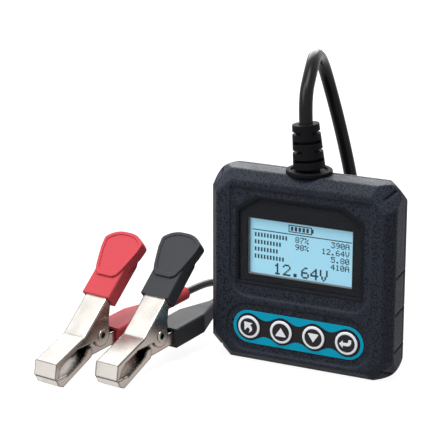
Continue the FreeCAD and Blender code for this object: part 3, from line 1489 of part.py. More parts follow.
def crimp(colour):
    """Crimp barrel on a tongue that lies in the lower arm, with the bared end of the lead's conductor."""
    body = clip_body(colour, "crimp_terminal", lower_frame())
    axis = lead_rise()
    barrel_end = S.lower_end - S.lower_grip_start - 1
    barrel_start = barrel_end - S.crimp_length
    half = S.lead_radius * 1.4
    floor = S.sheet_metal + S.fit_gap / 3
    tongue = [(-half, floor), (half, floor), (half, floor + S.sheet_metal), (-half, floor + S.sheet_metal)]
    pad_back(body, [tongue], Dim.of(2), barrel_start + 3)
    pad_back(body, [Circle(Dim.of(0), axis, crimp_radius())], barrel_start, barrel_end)
    conductor_end = S.sleeve_length - S.lead_seat
    pad_back(body, [Circle(Dim.of(0), axis, S.lead_radius * 0.55)], barrel_end - 1, conductor_end)
    keep(colour + "_crimp_terminal", body)


def clips():
    for colour in CLIPS:
        upper_jaw(colour)
        lower_jaw(colour)
        pivot_rivet(colour)
        torsion_spring(colour)
        upper_grip(colour)
        lower_grip(colour)
        crimp(colour)


def check_document():
    for obj in doc.Objects:
        if "Invalid" in obj.State or "Error" in obj.State:
            raise ValueError("%s failed: %s" % (obj.Label, obj.State))
    for label, obj in nodes.items():
        if obj.Shape.isNull() or not obj.Shape.isValid() or not obj.Shape.Solids:
            raise ValueError("%s has no valid shape" % label)


def main():
    case()
    display()
    keypad()
    circuit_board()
    screws()
    cable_boot()
    splitter()
    cords()
    clips()
    doc.recompute()
    check_document()
    os.makedirs("parts", exist_ok=True)
    for label, obj in nodes.items():
        obj.Shape.exportStep("parts/%s.step" % label)
    print(len(nodes), "pieces written")


main()
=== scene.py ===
import json
import math

import bpy
from bpy.props import FloatProperty, FloatVectorProperty, PointerProperty
from mathutils import Matrix, Vector


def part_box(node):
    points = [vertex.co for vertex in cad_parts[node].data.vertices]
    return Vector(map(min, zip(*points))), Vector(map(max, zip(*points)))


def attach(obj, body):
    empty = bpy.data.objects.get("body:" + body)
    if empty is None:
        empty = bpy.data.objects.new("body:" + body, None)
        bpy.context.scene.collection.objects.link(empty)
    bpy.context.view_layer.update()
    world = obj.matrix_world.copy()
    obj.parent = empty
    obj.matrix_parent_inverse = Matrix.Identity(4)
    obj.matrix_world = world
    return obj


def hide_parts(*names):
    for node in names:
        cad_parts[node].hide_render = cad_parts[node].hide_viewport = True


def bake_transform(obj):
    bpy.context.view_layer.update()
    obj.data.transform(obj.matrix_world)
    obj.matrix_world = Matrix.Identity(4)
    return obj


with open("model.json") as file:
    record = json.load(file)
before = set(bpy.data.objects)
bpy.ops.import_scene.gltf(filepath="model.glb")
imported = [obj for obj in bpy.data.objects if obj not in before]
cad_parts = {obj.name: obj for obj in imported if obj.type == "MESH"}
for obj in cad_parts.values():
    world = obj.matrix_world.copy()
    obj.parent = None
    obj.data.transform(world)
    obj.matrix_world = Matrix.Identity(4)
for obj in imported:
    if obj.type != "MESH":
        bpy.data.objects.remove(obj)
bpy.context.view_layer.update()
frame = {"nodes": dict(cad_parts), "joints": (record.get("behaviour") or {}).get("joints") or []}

bl_info = {
    "name": "Battery tester",
    "version": (1, 0, 0),
    "blender": (4, 5, 0),
    "location": "View3D > Sidebar > Tester",
    "description": "Finishes, printed marks, cables and stage for a hand-held battery tester",
    "category": "Object",
}

MM = 0.001
NODES = frame["nodes"]
CASE_BODY = "tester"
KEY_NAMES = ("back", "up", "down", "enter")
CLIP_COLOURS = ("red", "black")

# Control points of the cable and the leads, in millimetres.
MAIN_CABLE = (
    (-1.41, 0, 125.58), (-3.81, 0, 148.35), (-6.2, 15.3, 165.2), (-10.8, 30.7, 169.0), (-14.3, 47.6, 162.4),
    (-13.9, 58.6, 144.9), (-7.9, 62.5, 118.7), (-2.1, 68.1, 84.5), (0, 71, 54), (0.5, 78, 29), (-1, 94, 11.5),
    (-3, 116, 5), (-6, 138, 4.2), (-16, 158, 4.2), (-35, 168, 4.2), (-55, 163, 4.4), (-67, 147.5, 5.4),
    (-69.63, 128.66, 5.4),
)
LEADS = {
    "red": ((-76.31, 109.40, 5.4), (-78.45, 94.05, 5.4), (-85.5, 75, 10.5), (-88.6, 58, 17),
            (-90.02, 35.12, 19.03), (-93.46, 13.44, 18.0)),
    "black": ((-68.48, 108.30, 5.4), (-70.62, 92.95, 5.4), (-65.5, 73, 13.5), (-61.93, 48.57, 19.03),
              (-64.98, 26.81, 18.0)),
}
# Diameters of the cords, in metres.
CORD_WIDTHS = {"main": 7.5 * MM, "red": 4.6 * MM, "black": 4.6 * MM}

# The torsion springs. A coil passes from one jaw's turn to the other's over half of COIL_SWEEP to each side of its
# middle.
COIL_RADIUS = 3.8 * MM
COIL_PITCH = 1.75 * MM
COIL_START = math.radians(-40)
COIL_SWEEP = math.radians(4 * 360 + 100)
LOWER_LEG = 6.7 * MM
UPPER_LEG = 9.4 * MM
WIRE_RADIUS = 0.6 * MM

# The display's lens: how far the cut at a top corner goes across and down, and its clearance to the print behind it.
LENS_CUT = (11.8 * MM, 7.8 * MM)
LENS_BACK_GAP = 0.06 * MM
# Depths behind the case's front between which the band round the lens is dark.
BAND_DEPTHS = (0.3 * MM, 3 * MM)
# How far the keypad's dark band reaches in under the edge of a key.
BAND_UNDER_KEY = 0.7 * MM
# Distance at which the walls of a jaw still add painted shade to its channel.
CHANNEL_REACH = 22 * MM

# Breadth of the slow change that handling leaves on a surface.
HANDLING = {"plastic": 18 * MM, "metal": 9 * MM, "lens": 14 * MM, "display": 30 * MM}
# What is left of a finish's brightness in the band round the lens, in the painted dark reflection at a jaw's bends
# and in the painted shade inside its channel.
BAND_SHADE = 0.4
BEND_SHADE = 0.15
CHANNEL_SHADE = 0.06

# Finishes that a user would hardly change.
SCREW_STEEL = (0.42, 0.42, 0.44, 1)
# Darker colour of the jaws' side faces, a painted reflection.
SIDE_PAINTED_REFLECTION = (0.52, 0.44, 0.39, 1)
SPRING_STEEL = (0.5, 0.49, 0.47, 1)
CRIMP_TIN = (0.7, 0.66, 0.56, 1)
PIN_TIN = (0.72, 0.72, 0.70, 1)
FRAME_PAINT = (0.13, 0.125, 0.12, 1)
LENS_TINT = (0.02, 0.021, 0.024, 1)
LENS_ALPHA = 0.03
LCD_GLOW = 0.57
BACKLIGHT_GLOW = 0.8

# The stage, in metres, with the sensor in millimetres. Each glow is what the camera sees and what is mirrored.
FLOOR_HALF = 4.0
FLOOR_DROP = 0.2 * MM
FLOOR_GREY = (0.22, 0.22, 0.22, 1)
FLOOR_GLOW = (0.91, 0.6)
SKY_GLOW = (1.0, 1.0)
LIGHT_AIM = (-0.06, -0.03, 0.06)
LAMPS = {
    "key": {"place": (-0.69, -0.87, 0.98), "size": 0.9},
    "rim": {"place": (-0.58, 1.01, 0.735), "size": 1.1},
    "top": {"place": (-0.05, -0.35, 1.22), "size": 0.8},
}
CAMERA_PLACE = Vector((384.58, -877.27, 372.37)) * MM
CAMERA_AZIMUTH = math.radians(26.567)
CAMERA_ELEVATION = math.radians(16.814)
SENSOR_WIDTH = 36.0

# The display's dots, across and down, the share of the pitch by which a dot spreads, and the step between figures.
DISPLAY_COLUMNS = 128
DISPLAY_ROWS = 64
DOT_SPREAD = 0.08
FIGURE_STEP = 6
# Lines of the display: their row, the blocks of their bar, the share and the figure at the right.
DISPLAY_LINES = ((15, 11, "87%", "390A"), (24, 9, "98%", "12.64V"), (33, 8, "", "5.80"), (42, 10, "", "410A"))
BAR_COLUMN = 3
SHARE_COLUMN = 56
RIGHT_COLUMN = 126
HEADING_ROW = 12

# Dots of the display's figures, five across and seven down.
FIGURES = {
    "0": "01110 10001 10011 10101 11001 10001 01110",
    "1": "00100 01100 00100 00100 00100 00100 01110",
    "2": "01110 10001 00001 00010 00100 01000 11111",
    "3": "11111 00010 00100 00010 00001 10001 01110",
    "4": "00010 00110 01010 10010 11111 00010 00010",
    "5": "11111 10000 11110 00001 00001 10001 01110",
    "6": "00110 01000 10000 11110 10001 10001 01110",
    "7": "11111 00001 00010 00100 01000 01000 01000",
    "8": "01110 10001 10001 01110 10001 10001 01110",
    "9": "01110 10001 10001 01111 00001 00010 01100",
    ".": "00000 00000 00000 00000 00000 01100 01100",
    "%": "11000 11001 00010 00100 01000 10011 00011",
    "A": "01110 10001 10001 11111 10001 10001 10001",
    "V": "10001 10001 10001 10001 01010 01010 00100",
}

# Signs on the keys, in millimetres from the middle of the key.
SIGNS = {
    "back": ((-2.8, 3.0), (2.5, 2.6), (0.9, 1.3), (1.9, 0.1), (2.1, -1.2), (1.5, -2.4), (-0.1, -3.3), (0.5, -2.2),
             (0.6, -1.3), (0.2, -0.6), (-0.8, -0.3), (-2.5, -2.2)),
    "up": ((0, 2.6), (3.1, -2.0), (2.7, -2.5), (-2.7, -2.5), (-3.1, -2.0)),
    "down": ((0, -2.6), (-3.1, 2.0), (-2.7, 2.5), (2.7, 2.5), (3.1, 2.0)),
    "enter": ((-4.1, -0.5), (-1.9, 1.7), (-1.9, 0.4), (0.6, 0.4), (1.2, 0.8), (1.3, 2.3), (3.0, 2.3), (3.0, 0.4),
              (2.4, -0.8), (1.2, -1.4), (-1.9, -1.4), (-1.9, -2.8)),
}


class TesterColours(bpy.types.PropertyGroup):
    """Colours of the finishes"""

    def colour(name, description, default):
        return FloatVectorProperty(name=name, description=description, subtype="COLOR", size=4, min=0, max=1,
                                   default=(*default, 1))

    case: colour("Case", "Moulded case", (0.0226, 0.0268, 0.0376))
    mask: colour("Lens print", "Print behind the display lens", (0.0140, 0.0150, 0.0184))
    lcd_lit: colour("Display, lit", "Bright side of the display", (0.275, 0.54, 0.67))
    lcd_shade: colour("Display, shade", "Bluish side of the display", (0.265, 0.52, 0.66))
    lcd_ink: colour("Display figures", "Dark dots of the display", (0.012, 0.030, 0.055))
    overlay: colour("Keypad film", "Coloured film round the keys", (0.0025, 0.35, 0.535))
    film: colour("Keypad band", "Dark band that joins the keys", (0.0138, 0.0138, 0.0168))
    marks: colour("Marks", "Rings and signs on the keys", (0.88, 0.89, 0.93))
    red: colour("Red grip", "Grips of the red clip", (0.545, 0.071, 0.086))
    black: colour("Black grip", "Grips of the black clip", (0.049, 0.051, 0.057))
    steel: colour("Clip steel", "Plated steel of the jaws", (0.80, 0.762, 0.710))
    rubber: colour("Boot and cable", "Black rubber and cable jacket", (0.0060, 0.0062, 0.0075))


class TesterSizes(bpy.types.PropertyGroup):
    """Sizes of the printed marks"""

    def length(name, description, millimetres):
        return FloatProperty(name=name, description=description, default=millimetres * MM, unit="LENGTH", precision=5)

    ring_inner: length("Ring, inside", "Inner radius of the ring on a key", 5.15)
    ring_edge: length("Ring, edge", "Radius at which the key's edge starts to round", 6.1)
    edge_round: length("Key edge", "Rounding of the key's edge", 0.5)
    print_thick: length("Print", "Thickness of the printed marks", 0.04)
    band_wide: length("Band, at a key", "Half height of the dark band at a key", 8.0)
    band_narrow: length("Band, between", "Half height of the dark band between keys", 4.7)
    dot: length("Dot", "Pitch of the display's dots", 0.46)
    lens_band: length("Lens band", "Width of the dark band round the lens", 2.2)
    lens_gap: length("Lens gap", "Dark line between the lens and its seat", 0.4)
    lens_round: length("Lens corners", "Rounding of the lens's corners", 2.4)


class TesterStage(bpy.types.PropertyGroup):
    """Camera and light"""

    key_light: FloatProperty(name="Key light", description="Power of the lamp in front", default=11.0, unit="POWER")
    rim_light: FloatProperty(name="Rim light", description="Power of the lamp behind", default=13.0, unit="POWER")
    top_light: FloatProperty(name="Top light", description="Power of the lamp above", default=11.5, unit="POWER")
    sky: FloatProperty(name="Sky", description="Strength of the light all round", default=0.35)
    lens: FloatProperty(name="Lens", description="Focal length in millimetres", default=149.9)


def colours():
    return bpy.context.scene.tester_colours


def sizes():
    return bpy.context.scene.tester_sizes


# Shader nodes

def feed(tree, socket, value):
    """Link a socket, or set it to a plain value."""
    if isinstance(value, bpy.types.NodeSocket):
        tree.links.new(value, socket)
    else:
        socket.default_value = value


def add(tree, kind, settings=(), **inputs):
    """A node with its inputs fed by name; an underscore stands for a blank."""
    node = tree.nodes.new(kind)
    for name, value in dict(settings).items():
        setattr(node, name, value)
    for name, value in inputs.items():
        feed(tree, node.inputs[name.replace("_", " ")], value)
    return node


def reckon(tree, operation, first, second=0.0):
    node = add(tree, "ShaderNodeMath", {"operation": operation})
    feed(tree, node.inputs[0], first)
    feed(tree, node.inputs[1], second)
    return node.outputs[0]


def blend_colour(tree, share, first, second):
    node = add(tree, "ShaderNodeMix", {"data_type": "RGBA"})
    feed(tree, node.inputs[0], share)
    feed(tree, node.inputs[6], first)
    feed(tree, node.inputs[7], second)
    return node.outputs[2]


def spread(tree, value, low, high, to_low, to_high):
    """Map a value from one span onto another, clamped."""
    node = add(tree, "ShaderNodeMapRange", Value=value, From_Min=low, From_Max=high, To_Min=to_low, To_Max=to_high)
    return node.outputs[0]


def new_group(name, inputs, outputs):
    """An empty shader group, its input node and its output node."""
    tree = bpy.data.node_groups.new(name, "ShaderNodeTree")
    for label, default in inputs:
        socket = tree.interface.new_socket(label, in_out="INPUT", socket_type="NodeSocketFloat")
        socket.default_value = default
    for label, kind in outputs:
        tree.interface.new_socket(label, in_out="OUTPUT", socket_type="NodeSocket" + kind)
    return tree, tree.nodes.new("NodeGroupInput"), tree.nodes.new("NodeGroupOutput")


def scaled_place(tree, size):
    """Object coordinates divided by a size."""
    place = add(tree, "ShaderNodeTexCoord").outputs["Object"]
    node = add(tree, "ShaderNodeVectorMath", {"operation": "SCALE"}, Scale=reckon(tree, "DIVIDE", 1.0, size))
    feed(tree, node.inputs[0], place)
    return node.outputs[0]


def grain_group():
    """Spark-eroded mould grain: small soft lumps of one size."""
    name = "Mould grain"
    if name in bpy.data.node_groups:
        return bpy.data.node_groups[name]
    tree, start, end = new_group(name, [("Cell", 0.0006)], [("Height", "Float"), ("Shade", "Float")])
    place = scaled_place(tree, start.outputs["Cell"])
    lumps = add(tree, "ShaderNodeTexVoronoi", {"feature": "SMOOTH_F1"}, Vector=place, Scale=1.0, Smoothness=0.6)
    dust = add(tree, "ShaderNodeTexNoise", Vector=place, Scale=1.7, Detail=2.0, Roughness=0.6)
    height = reckon(tree, "ADD", reckon(tree, "SUBTRACT", 1.0, lumps.outputs["Distance"]), dust.outputs["Fac"])
    feed(tree, end.inputs["Height"], height)
    feed(tree, end.inputs["Shade"], spread(tree, height, 0.6, 1.5, 0.0, 1.0))
    return tree


def smudge_group():
    """Slow change over a surface, from handling."""
    name = "Handling"
    if name in bpy.data.node_groups:
        return bpy.data.node_groups[name]
    tree, start, end = new_group(name, [("Size", 0.02), ("Low", 0.4), ("High", 0.6)],
                                 [("Value", "Float"), ("Mask", "Float")])
    place = scaled_place(tree, start.outputs["Size"])
    cloud = add(tree, "ShaderNodeTexNoise", Vector=place, Scale=1.0, Detail=4.0, Roughness=0.55, Distortion=0.4)
    mask = spread(tree, cloud.outputs["Fac"], 0.32, 0.68, 0.0, 1.0)
    feed(tree, end.inputs["Mask"], mask)
    feed(tree, end.inputs["Value"], spread(tree, mask, 0.0, 1.0, start.outputs["Low"], start.outputs["High"]))
    return tree


def edge_group():
    """Softened edges: a normal that rolls over them and a mask of where they are."""
    name = "Soft edges"
    if name in bpy.data.node_groups:
        return bpy.data.node_groups[name]
    tree, start, end = new_group(name, [("Radius", 0.0003)], [("Normal", "Vector"), ("Mask", "Float")])
    rolled = add(tree, "ShaderNodeBevel", {"samples": 6}, Radius=start.outputs["Radius"])
    plain = add(tree, "ShaderNodeNewGeometry")
    dot = add(tree, "ShaderNodeVectorMath", {"operation": "DOT_PRODUCT"})
    feed(tree, dot.inputs[0], rolled.outputs["Normal"])
    feed(tree, dot.inputs[1], plain.outputs["Normal"])
    feed(tree, end.inputs["Normal"], rolled.outputs["Normal"])
    feed(tree, end.inputs["Mask"], spread(tree, dot.outputs["Value"], 0.998, 0.90, 0.0, 1.0))
    return tree


def drawn_group():
    """Fine drawing lines of rolled sheet or wire, along the clips."""
    name = "Drawing lines"
    if name in bpy.data.node_groups:
        return bpy.data.node_groups[name]
    tree, start, end = new_group(name, [("Line", 0.00012), ("Stretch", 30.0)],
                                 [("Height", "Float"), ("Shade", "Float")])
    place = scaled_place(tree, start.outputs["Line"])
    turned = add(tree, "ShaderNodeMapping", Vector=place)
    turned.inputs["Rotation"].default_value = (0, 0, math.radians(8.5))
    squeeze = add(tree, "ShaderNodeCombineXYZ", X=1.0, Z=1.0)
    feed(tree, squeeze.inputs["Y"], reckon(tree, "DIVIDE", 1.0, start.outputs["Stretch"]))
    long_place = add(tree, "ShaderNodeVectorMath", {"operation": "MULTIPLY"})
    feed(tree, long_place.inputs[0], turned.outputs[0])
    feed(tree, long_place.inputs[1], squeeze.outputs[0])
    lines = add(tree, "ShaderNodeTexNoise", Vector=long_place.outputs[0], Scale=1.0, Detail=3.0, Roughness=0.6)
    feed(tree, end.inputs["Height"], lines.outputs["Fac"])
    feed(tree, end.inputs["Shade"], spread(tree, lines.outputs["Fac"], 0.35, 0.65, 0.0, 1.0))
    return tree


def placed(tree, group, **inputs):
    """One use of a shader group, with its own values."""
    node = tree.nodes.new("ShaderNodeGroup")
    node.node_tree = group
    for name, value in inputs.items():
        feed(tree, node.inputs[name], value)
    return node


def new_material(name):
    """A material with an empty Principled shader, its tree and that shader."""
    material = bpy.data.materials.new(name)
    material.use_nodes = True
    tree = material.node_tree
    tree.nodes.clear()
    shader = tree.nodes.new("ShaderNodeBsdfPrincipled")
    out = tree.nodes.new("ShaderNodeOutputMaterial")
    tree.links.new(shader.outputs[0], out.inputs["Surface"])
    return material, tree, shader


def tinted(colour, factor):
    return (*(min(1.0, part * factor) for part in colour[:3]), 1)


def band_mask(tree, bounds, cut, front, back):
    """1 between two depths within an upright outline whose top corners are cut; 0 elsewhere.

    bounds is its half width, its bottom and its top; cut is how far a corner's cut goes across and down.
    """
    half, low, high = bounds
    across, down = cut
    place = add(tree, "ShaderNodeTexCoord").outputs["Object"]
    split = add(tree, "ShaderNodeSeparateXYZ", Vector=place)
    aside = reckon(tree, "ABSOLUTE", split.outputs["X"])
    height = split.outputs["Z"]
    past_shoulder = reckon(tree, "MULTIPLY", reckon(tree, "SUBTRACT", aside, half), down)
    slant = reckon(tree, "ADD", past_shoulder, reckon(tree, "MULTIPLY", height, across))
    tests = (
        reckon(tree, "LESS_THAN", aside, half),
        reckon(tree, "GREATER_THAN", split.outputs["Y"], front),
        reckon(tree, "LESS_THAN", split.outputs["Y"], back),
        reckon(tree, "GREATER_THAN", height, low),
        reckon(tree, "LESS_THAN", height, high),
        reckon(tree, "LESS_THAN", slant, (high - down) * across),
    )
    mask = tests[0]
    for test in tests[1:]:
        mask = reckon(tree, "MULTIPLY", mask, test)
    return mask


def plastic(name, colour, cell=0.6, depth=0.03, rough=(0.42, 0.55), edge=1.5, edge_round=0.3, specular=0.5,
            mottle=0.82, band=None):
    """Moulded plastic or rubber: grain, handling marks and softened edges with a painted highlight. Lengths in
    millimetres.

    Faces within band, the arguments of band_mask, are darker.
    """
    material, tree, shader = new_material(name)
    grain = placed(tree, grain_group(), Cell=cell * MM)
    hands = placed(tree, smudge_group(), Size=HANDLING["plastic"], Low=rough[0], High=rough[1])
    edges = placed(tree, edge_group(), Radius=edge_round * MM)
    body = blend_colour(tree, grain.outputs["Shade"], tinted(colour, mottle), tinted(colour, 2 - mottle))
    # Painted highlight: the edges are lighter by the factor edge, less so where the handling cloud is low.
    edge_highlight = reckon(tree, "MULTIPLY", edges.outputs["Mask"], spread(tree, hands.outputs["Mask"], 0, 1, 0.45, 1.0))
    base = blend_colour(tree, edge_highlight, body, tinted(colour, edge))
    if band:
        base = blend_colour(tree, band_mask(tree, *band), base, tinted(colour, BAND_SHADE))
    feed(tree, shader.inputs["Base Color"], base)
    feed(tree, shader.inputs["Roughness"], hands.outputs["Value"])
    shader.inputs["Specular IOR Level"].default_value = specular
    bump = add(tree, "ShaderNodeBump", Height=grain.outputs["Height"], Strength=1.0, Distance=depth * MM,
               Normal=edges.outputs["Normal"])
    feed(tree, shader.inputs["Normal"], bump.outputs[0])
    return material


def side_masks(tree):
    """Where faces look sideways in the piece's own frame, and where they turn from sideways to up or ahead."""
    normal = add(tree, "ShaderNodeTexCoord").outputs["Normal"]
    split = add(tree, "ShaderNodeSeparateXYZ", Vector=normal)
    aside = reckon(tree, "ABSOLUTE", split.outputs["X"])
    sides = spread(tree, aside, 0.6, 0.9, 0.0, 1.0)
    starts = spread(tree, aside, 0.24, 0.4, 0.0, 1.0)
    ends = spread(tree, aside, 0.75, 0.9, 1.0, 0.0)
    return sides, reckon(tree, "MULTIPLY", starts, ends)


def channel_shade_mask(tree, reach):
    """1 on faces that other faces of the same piece shut in, 0 on open faces."""
    open_share = add(tree, "ShaderNodeAmbientOcclusion", {"samples": 8, "only_local": True}, Distance=reach)
    return spread(tree, open_share.outputs["AO"], 0.76, 0.94, 1.0, 0.0)


def metal(name, colour, line=0.12, depth=0.002, rough=(0.2, 0.3), shade=0.8, edge=0.6, edge_round=0.2, stretch=30.0,
          sides=None):
    """Rolled or drawn metal: fine lines, slow change of gloss and a painted dark reflection on the edges. Lengths in
    millimetres.

    sides is the colour of a painted darker reflection on the side faces. It is darkest as a painted reflection at the
    bends and as painted shade inside a channel.
    """
    material, tree, shader = new_material(name)
    lines = placed(tree, drawn_group(), Line=line * MM, Stretch=stretch)
    hands = placed(tree, smudge_group(), Size=HANDLING["metal"], Low=rough[0], High=rough[1])
    edges = placed(tree, edge_group(), Radius=edge_round * MM)
    dull = blend_colour(tree, lines.outputs["Shade"], tinted(colour, shade), colour)
    handled_and_shaded = blend_colour(tree, hands.outputs["Mask"], dull, colour)
    if sides:
        # Painted reflection: side faces take the darker sides colour, and the bends a darker line still.
        aside, bend = side_masks(tree)
        handled_and_shaded = blend_colour(tree, aside, handled_and_shaded, sides)
        handled_and_shaded = blend_colour(tree, bend, handled_and_shaded, tinted(sides, BEND_SHADE))
        # Painted shade inside the jaw's channel, where its own walls close it in.
        handled_and_shaded = blend_colour(tree, channel_shade_mask(tree, CHANNEL_REACH), handled_and_shaded, tinted(sides, CHANNEL_SHADE))
    # Painted dark reflection on the edges, by the factor edge.
    base = blend_colour(tree, edges.outputs["Mask"], handled_and_shaded, tinted(colour, edge))
    feed(tree, shader.inputs["Base Color"], base)
    feed(tree, shader.inputs["Roughness"], hands.outputs["Value"])
    shader.inputs["Metallic"].default_value = 1.0
    bump = add(tree, "ShaderNodeBump", Height=lines.outputs["Height"], Strength=1.0, Distance=depth * MM,
               Normal=edges.outputs["Normal"])
    feed(tree, shader.inputs["Normal"], bump.outputs[0])
    return material


def clear_lens(name):
    """Thin clear acrylic: it hardly tints what lies behind it and keeps a faint gloss."""
    material, tree, shader = new_material(name)
    hands = placed(tree, smudge_group(), Size=HANDLING["lens"], Low=0.16, High=0.24)
    feed(tree, shader.inputs["Roughness"], hands.outputs["Value"])
    shader.inputs["Base Color"].default_value = LENS_TINT
    shader.inputs["Alpha"].default_value = LENS_ALPHA
    return material


def lit_panel(name, lit, shade, strength, left, right):
    """Backlit panel: lighter at one side, with a faint net of dots."""
    material, tree, shader = new_material(name)
    place = add(tree, "ShaderNodeTexCoord").outputs["Object"]
    split = add(tree, "ShaderNodeSeparateXYZ", Vector=place)
    cloud = placed(tree, smudge_group(), Size=HANDLING["display"], Low=-0.12, High=0.12)
    across = spread(tree, split.outputs["X"], left, right, 0.0, 0.75)
    share = reckon(tree, "ADD", across, cloud.outputs["Value"])
    grain = placed(tree, grain_group(), Cell=sizes().dot)
    base = blend_colour(tree, share, lit, shade)
    fine = blend_colour(tree, spread(tree, grain.outputs["Shade"], 0, 1, 0.0, 0.06), base, tinted(shade, 0.6))
    feed(tree, shader.inputs["Base Color"], fine)
    feed(tree, shader.inputs["Emission Color"], fine)
    shader.inputs["Emission Strength"].default_value = strength
    shader.inputs["Roughness"].default_value = 0.25
    return material


# Mesh helpers

def ring_points(x, z, radius, count=72):
    turns = [2 * math.pi * i / count for i in range(count)]
    return [(x + radius * math.cos(turn), z + radius * math.sin(turn)) for turn in turns]


def rounded(corners, reach, steps=6):
    """A closed outline whose corners turn from one side to the next over a length."""
    points = []
    for i, corner in enumerate(corners):
        here = Vector(corner)
        start = here + (Vector(corners[i - 1]) - here).normalized() * reach
        end = here + (Vector(corners[(i + 1) % len(corners)]) - here).normalized() * reach
        for step in range(steps + 1):
            t = step / steps
            points.append(tuple(start * (1 - t) ** 2 + here * 2 * t * (1 - t) + end * t ** 2))
    return points


def flat_mesh(name, loops, thick):
    """A plate from closed loops in the front plane, in metres: x across, z up, from y = 0 towards the front."""
    curve = bpy.data.curves.new(name, "CURVE")
    curve.dimensions = "2D"
    curve.fill_mode = "BOTH"
    curve.extrude = thick / 2
    for loop in loops:
        spline = curve.splines.new("POLY")
        spline.points.add(len(loop) - 1)
        for point, (x, z) in zip(spline.points, loop):
            point.co = (x, z, 0, 1)
        spline.use_cyclic_u = True
    holder = bpy.data.objects.new(name, curve)
    bpy.context.scene.collection.objects.link(holder)
    found = bpy.context.evaluated_depsgraph_get()
    mesh = bpy.data.meshes.new_from_object(holder.evaluated_get(found))
    bpy.data.objects.remove(holder)
    bpy.data.curves.remove(curve)
    mesh.transform(Matrix.Rotation(math.pi / 2, 4, "X"))
    mesh.transform(Matrix.Translation((0, -thick / 2, 0)))
    mesh.name = name
    return mesh


def block_mesh(name, blocks, back, thick):
    """Flat blocks (left, bottom, right, top) that stand on one depth."""
    corners = ((0, 1), (2, 1), (2, 3), (0, 3))
    sides = ((0, 1, 2, 3), (7, 6, 5, 4), (0, 4, 5, 1), (1, 5, 6, 2), (2, 6, 7, 3), (3, 7, 4, 0))
    points, faces = [], []
    for block in blocks:
        first = len(points)
        for y in (back - thick, back):
            points += [(block[i], y, block[j]) for i, j in corners]
        faces += [tuple(first + i for i in side) for side in sides]
    mesh = bpy.data.meshes.new(name)
    mesh.from_pydata(points, [], faces)
    return mesh


def piece(name, mesh, body, material):
    """A finished piece that rides on a body."""
    obj = bpy.data.objects.new(name, mesh)
    bpy.context.scene.collection.objects.link(obj)
    obj.data.materials.clear()
    obj.data.materials.append(material)
    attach(obj, body)
    return obj


def flat_piece(name, loops, thick, back, body, material):
    """A plate whose back lies at one depth."""
    mesh = flat_mesh(name, loops, thick)
    mesh.transform(Matrix.Translation((0, back, 0)))
    return piece(name, mesh, body, material)


def turned_mesh(name, profile, centre, count=72):
    """A closed profile of (radius, y) turned about the Y axis through a centre (x, z)."""
    x, z = centre
    points = []
    for radius, y in profile:
        points += [(px, y, pz) for px, pz in ring_points(x, z, radius, count)]
    rows = len(profile)
    faces = []
    for row in range(rows):
        for i in range(count):
            low, high = row * count, (row + 1) % rows * count
            faces.append((low + i, low + (i + 1) % count, high + (i + 1) % count, high + i))
    mesh = bpy.data.meshes.new(name)
    mesh.from_pydata(points, [], faces)
    mesh.shade_smooth()
    mesh.set_sharp_from_angle(angle=math.radians(40))
    return mesh


def tube_mesh(name, line, radius, sides=14):
    """A round wire along a line of points, with closed ends."""
    points, faces = [], []
    across = Vector((0, 0, 1)).cross(line[1] - line[0]).normalized()
    for i, here in enumerate(line):
        ahead = line[min(i + 1, len(line) - 1)] - line[max(i - 1, 0)]
        ahead.normalize()
        across = (across - ahead * across.dot(ahead)).normalized()
        other = ahead.cross(across)
        for k in range(sides):
            turn = 2 * math.pi * k / sides
            points.append(here + (across * math.cos(turn) + other * math.sin(turn)) * radius)
    for i in range(len(line) - 1):
        for k in range(sides):
            low, high = i * sides, (i + 1) * sides
            faces.append((low + k, low + (k + 1) % sides, high + (k + 1) % sides, high + k))
    faces.append(tuple(reversed(range(sides))))
    faces.append(tuple(range((len(line) - 1) * sides, len(line) * sides)))
    mesh = bpy.data.meshes.new(name)
    mesh.from_pydata(points, [], faces)
    mesh.shade_smooth()
    mesh.set_sharp_from_angle(angle=math.radians(50))
    return mesh


def dress(material, *names):
    """Give CAD nodes a finish."""
    for name in names:
        slots = NODES[name].data.materials
        slots.clear()
        slots.append(material)


def front_of(node):
    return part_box(node)[0].y


def middle_of(node):
    low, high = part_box(node)
    return (low + high) / 2


# Cables

def cord_piece(name, points, width, material):
    """A round cord on a smooth line through its control points."""
    curve = bpy.data.curves.new(name, "CURVE")
    curve.dimensions = "3D"
    curve.bevel_depth = width / 2
    curve.bevel_resolution = 6
    curve.resolution_u = 14
    curve.use_fill_caps = True
    spline = curve.splines.new("NURBS")
    spline.points.add(len(points) - 1)
    for point, place in zip(spline.points, points):
        point.co = (*(part * MM for part in place), 1)
    spline.order_u = 3
    spline.use_endpoint_u = True
    curve.materials.append(material)
    obj = bpy.data.objects.new(name, curve)
    bpy.context.scene.collection.objects.link(obj)
    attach(obj, CASE_BODY)
    return obj


class TESTER_OT_cords(bpy.types.Operator):
    """Lay the main cable from the boot to the splitter and a lead to each clip"""

    bl_idname = "tester.cords"
    bl_label = "Cables"

    def execute(self, context):
        jacket = plastic("cable_jacket", colours().rubber, cell=0.25, depth=0.004, rough=(0.2, 0.28), edge=1.2,
                         specular=0.16)
        main = cord_piece("main_cable_jacket", MAIN_CABLE, CORD_WIDTHS["main"], jacket)
        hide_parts("main_cable")
        for colour in CLIP_COLOURS:
            lead = cord_piece(colour + "_lead_jacket", LEADS[colour], CORD_WIDTHS[colour], jacket)
            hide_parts(colour + "_lead")
        return {"FINISHED"}


# Case and board

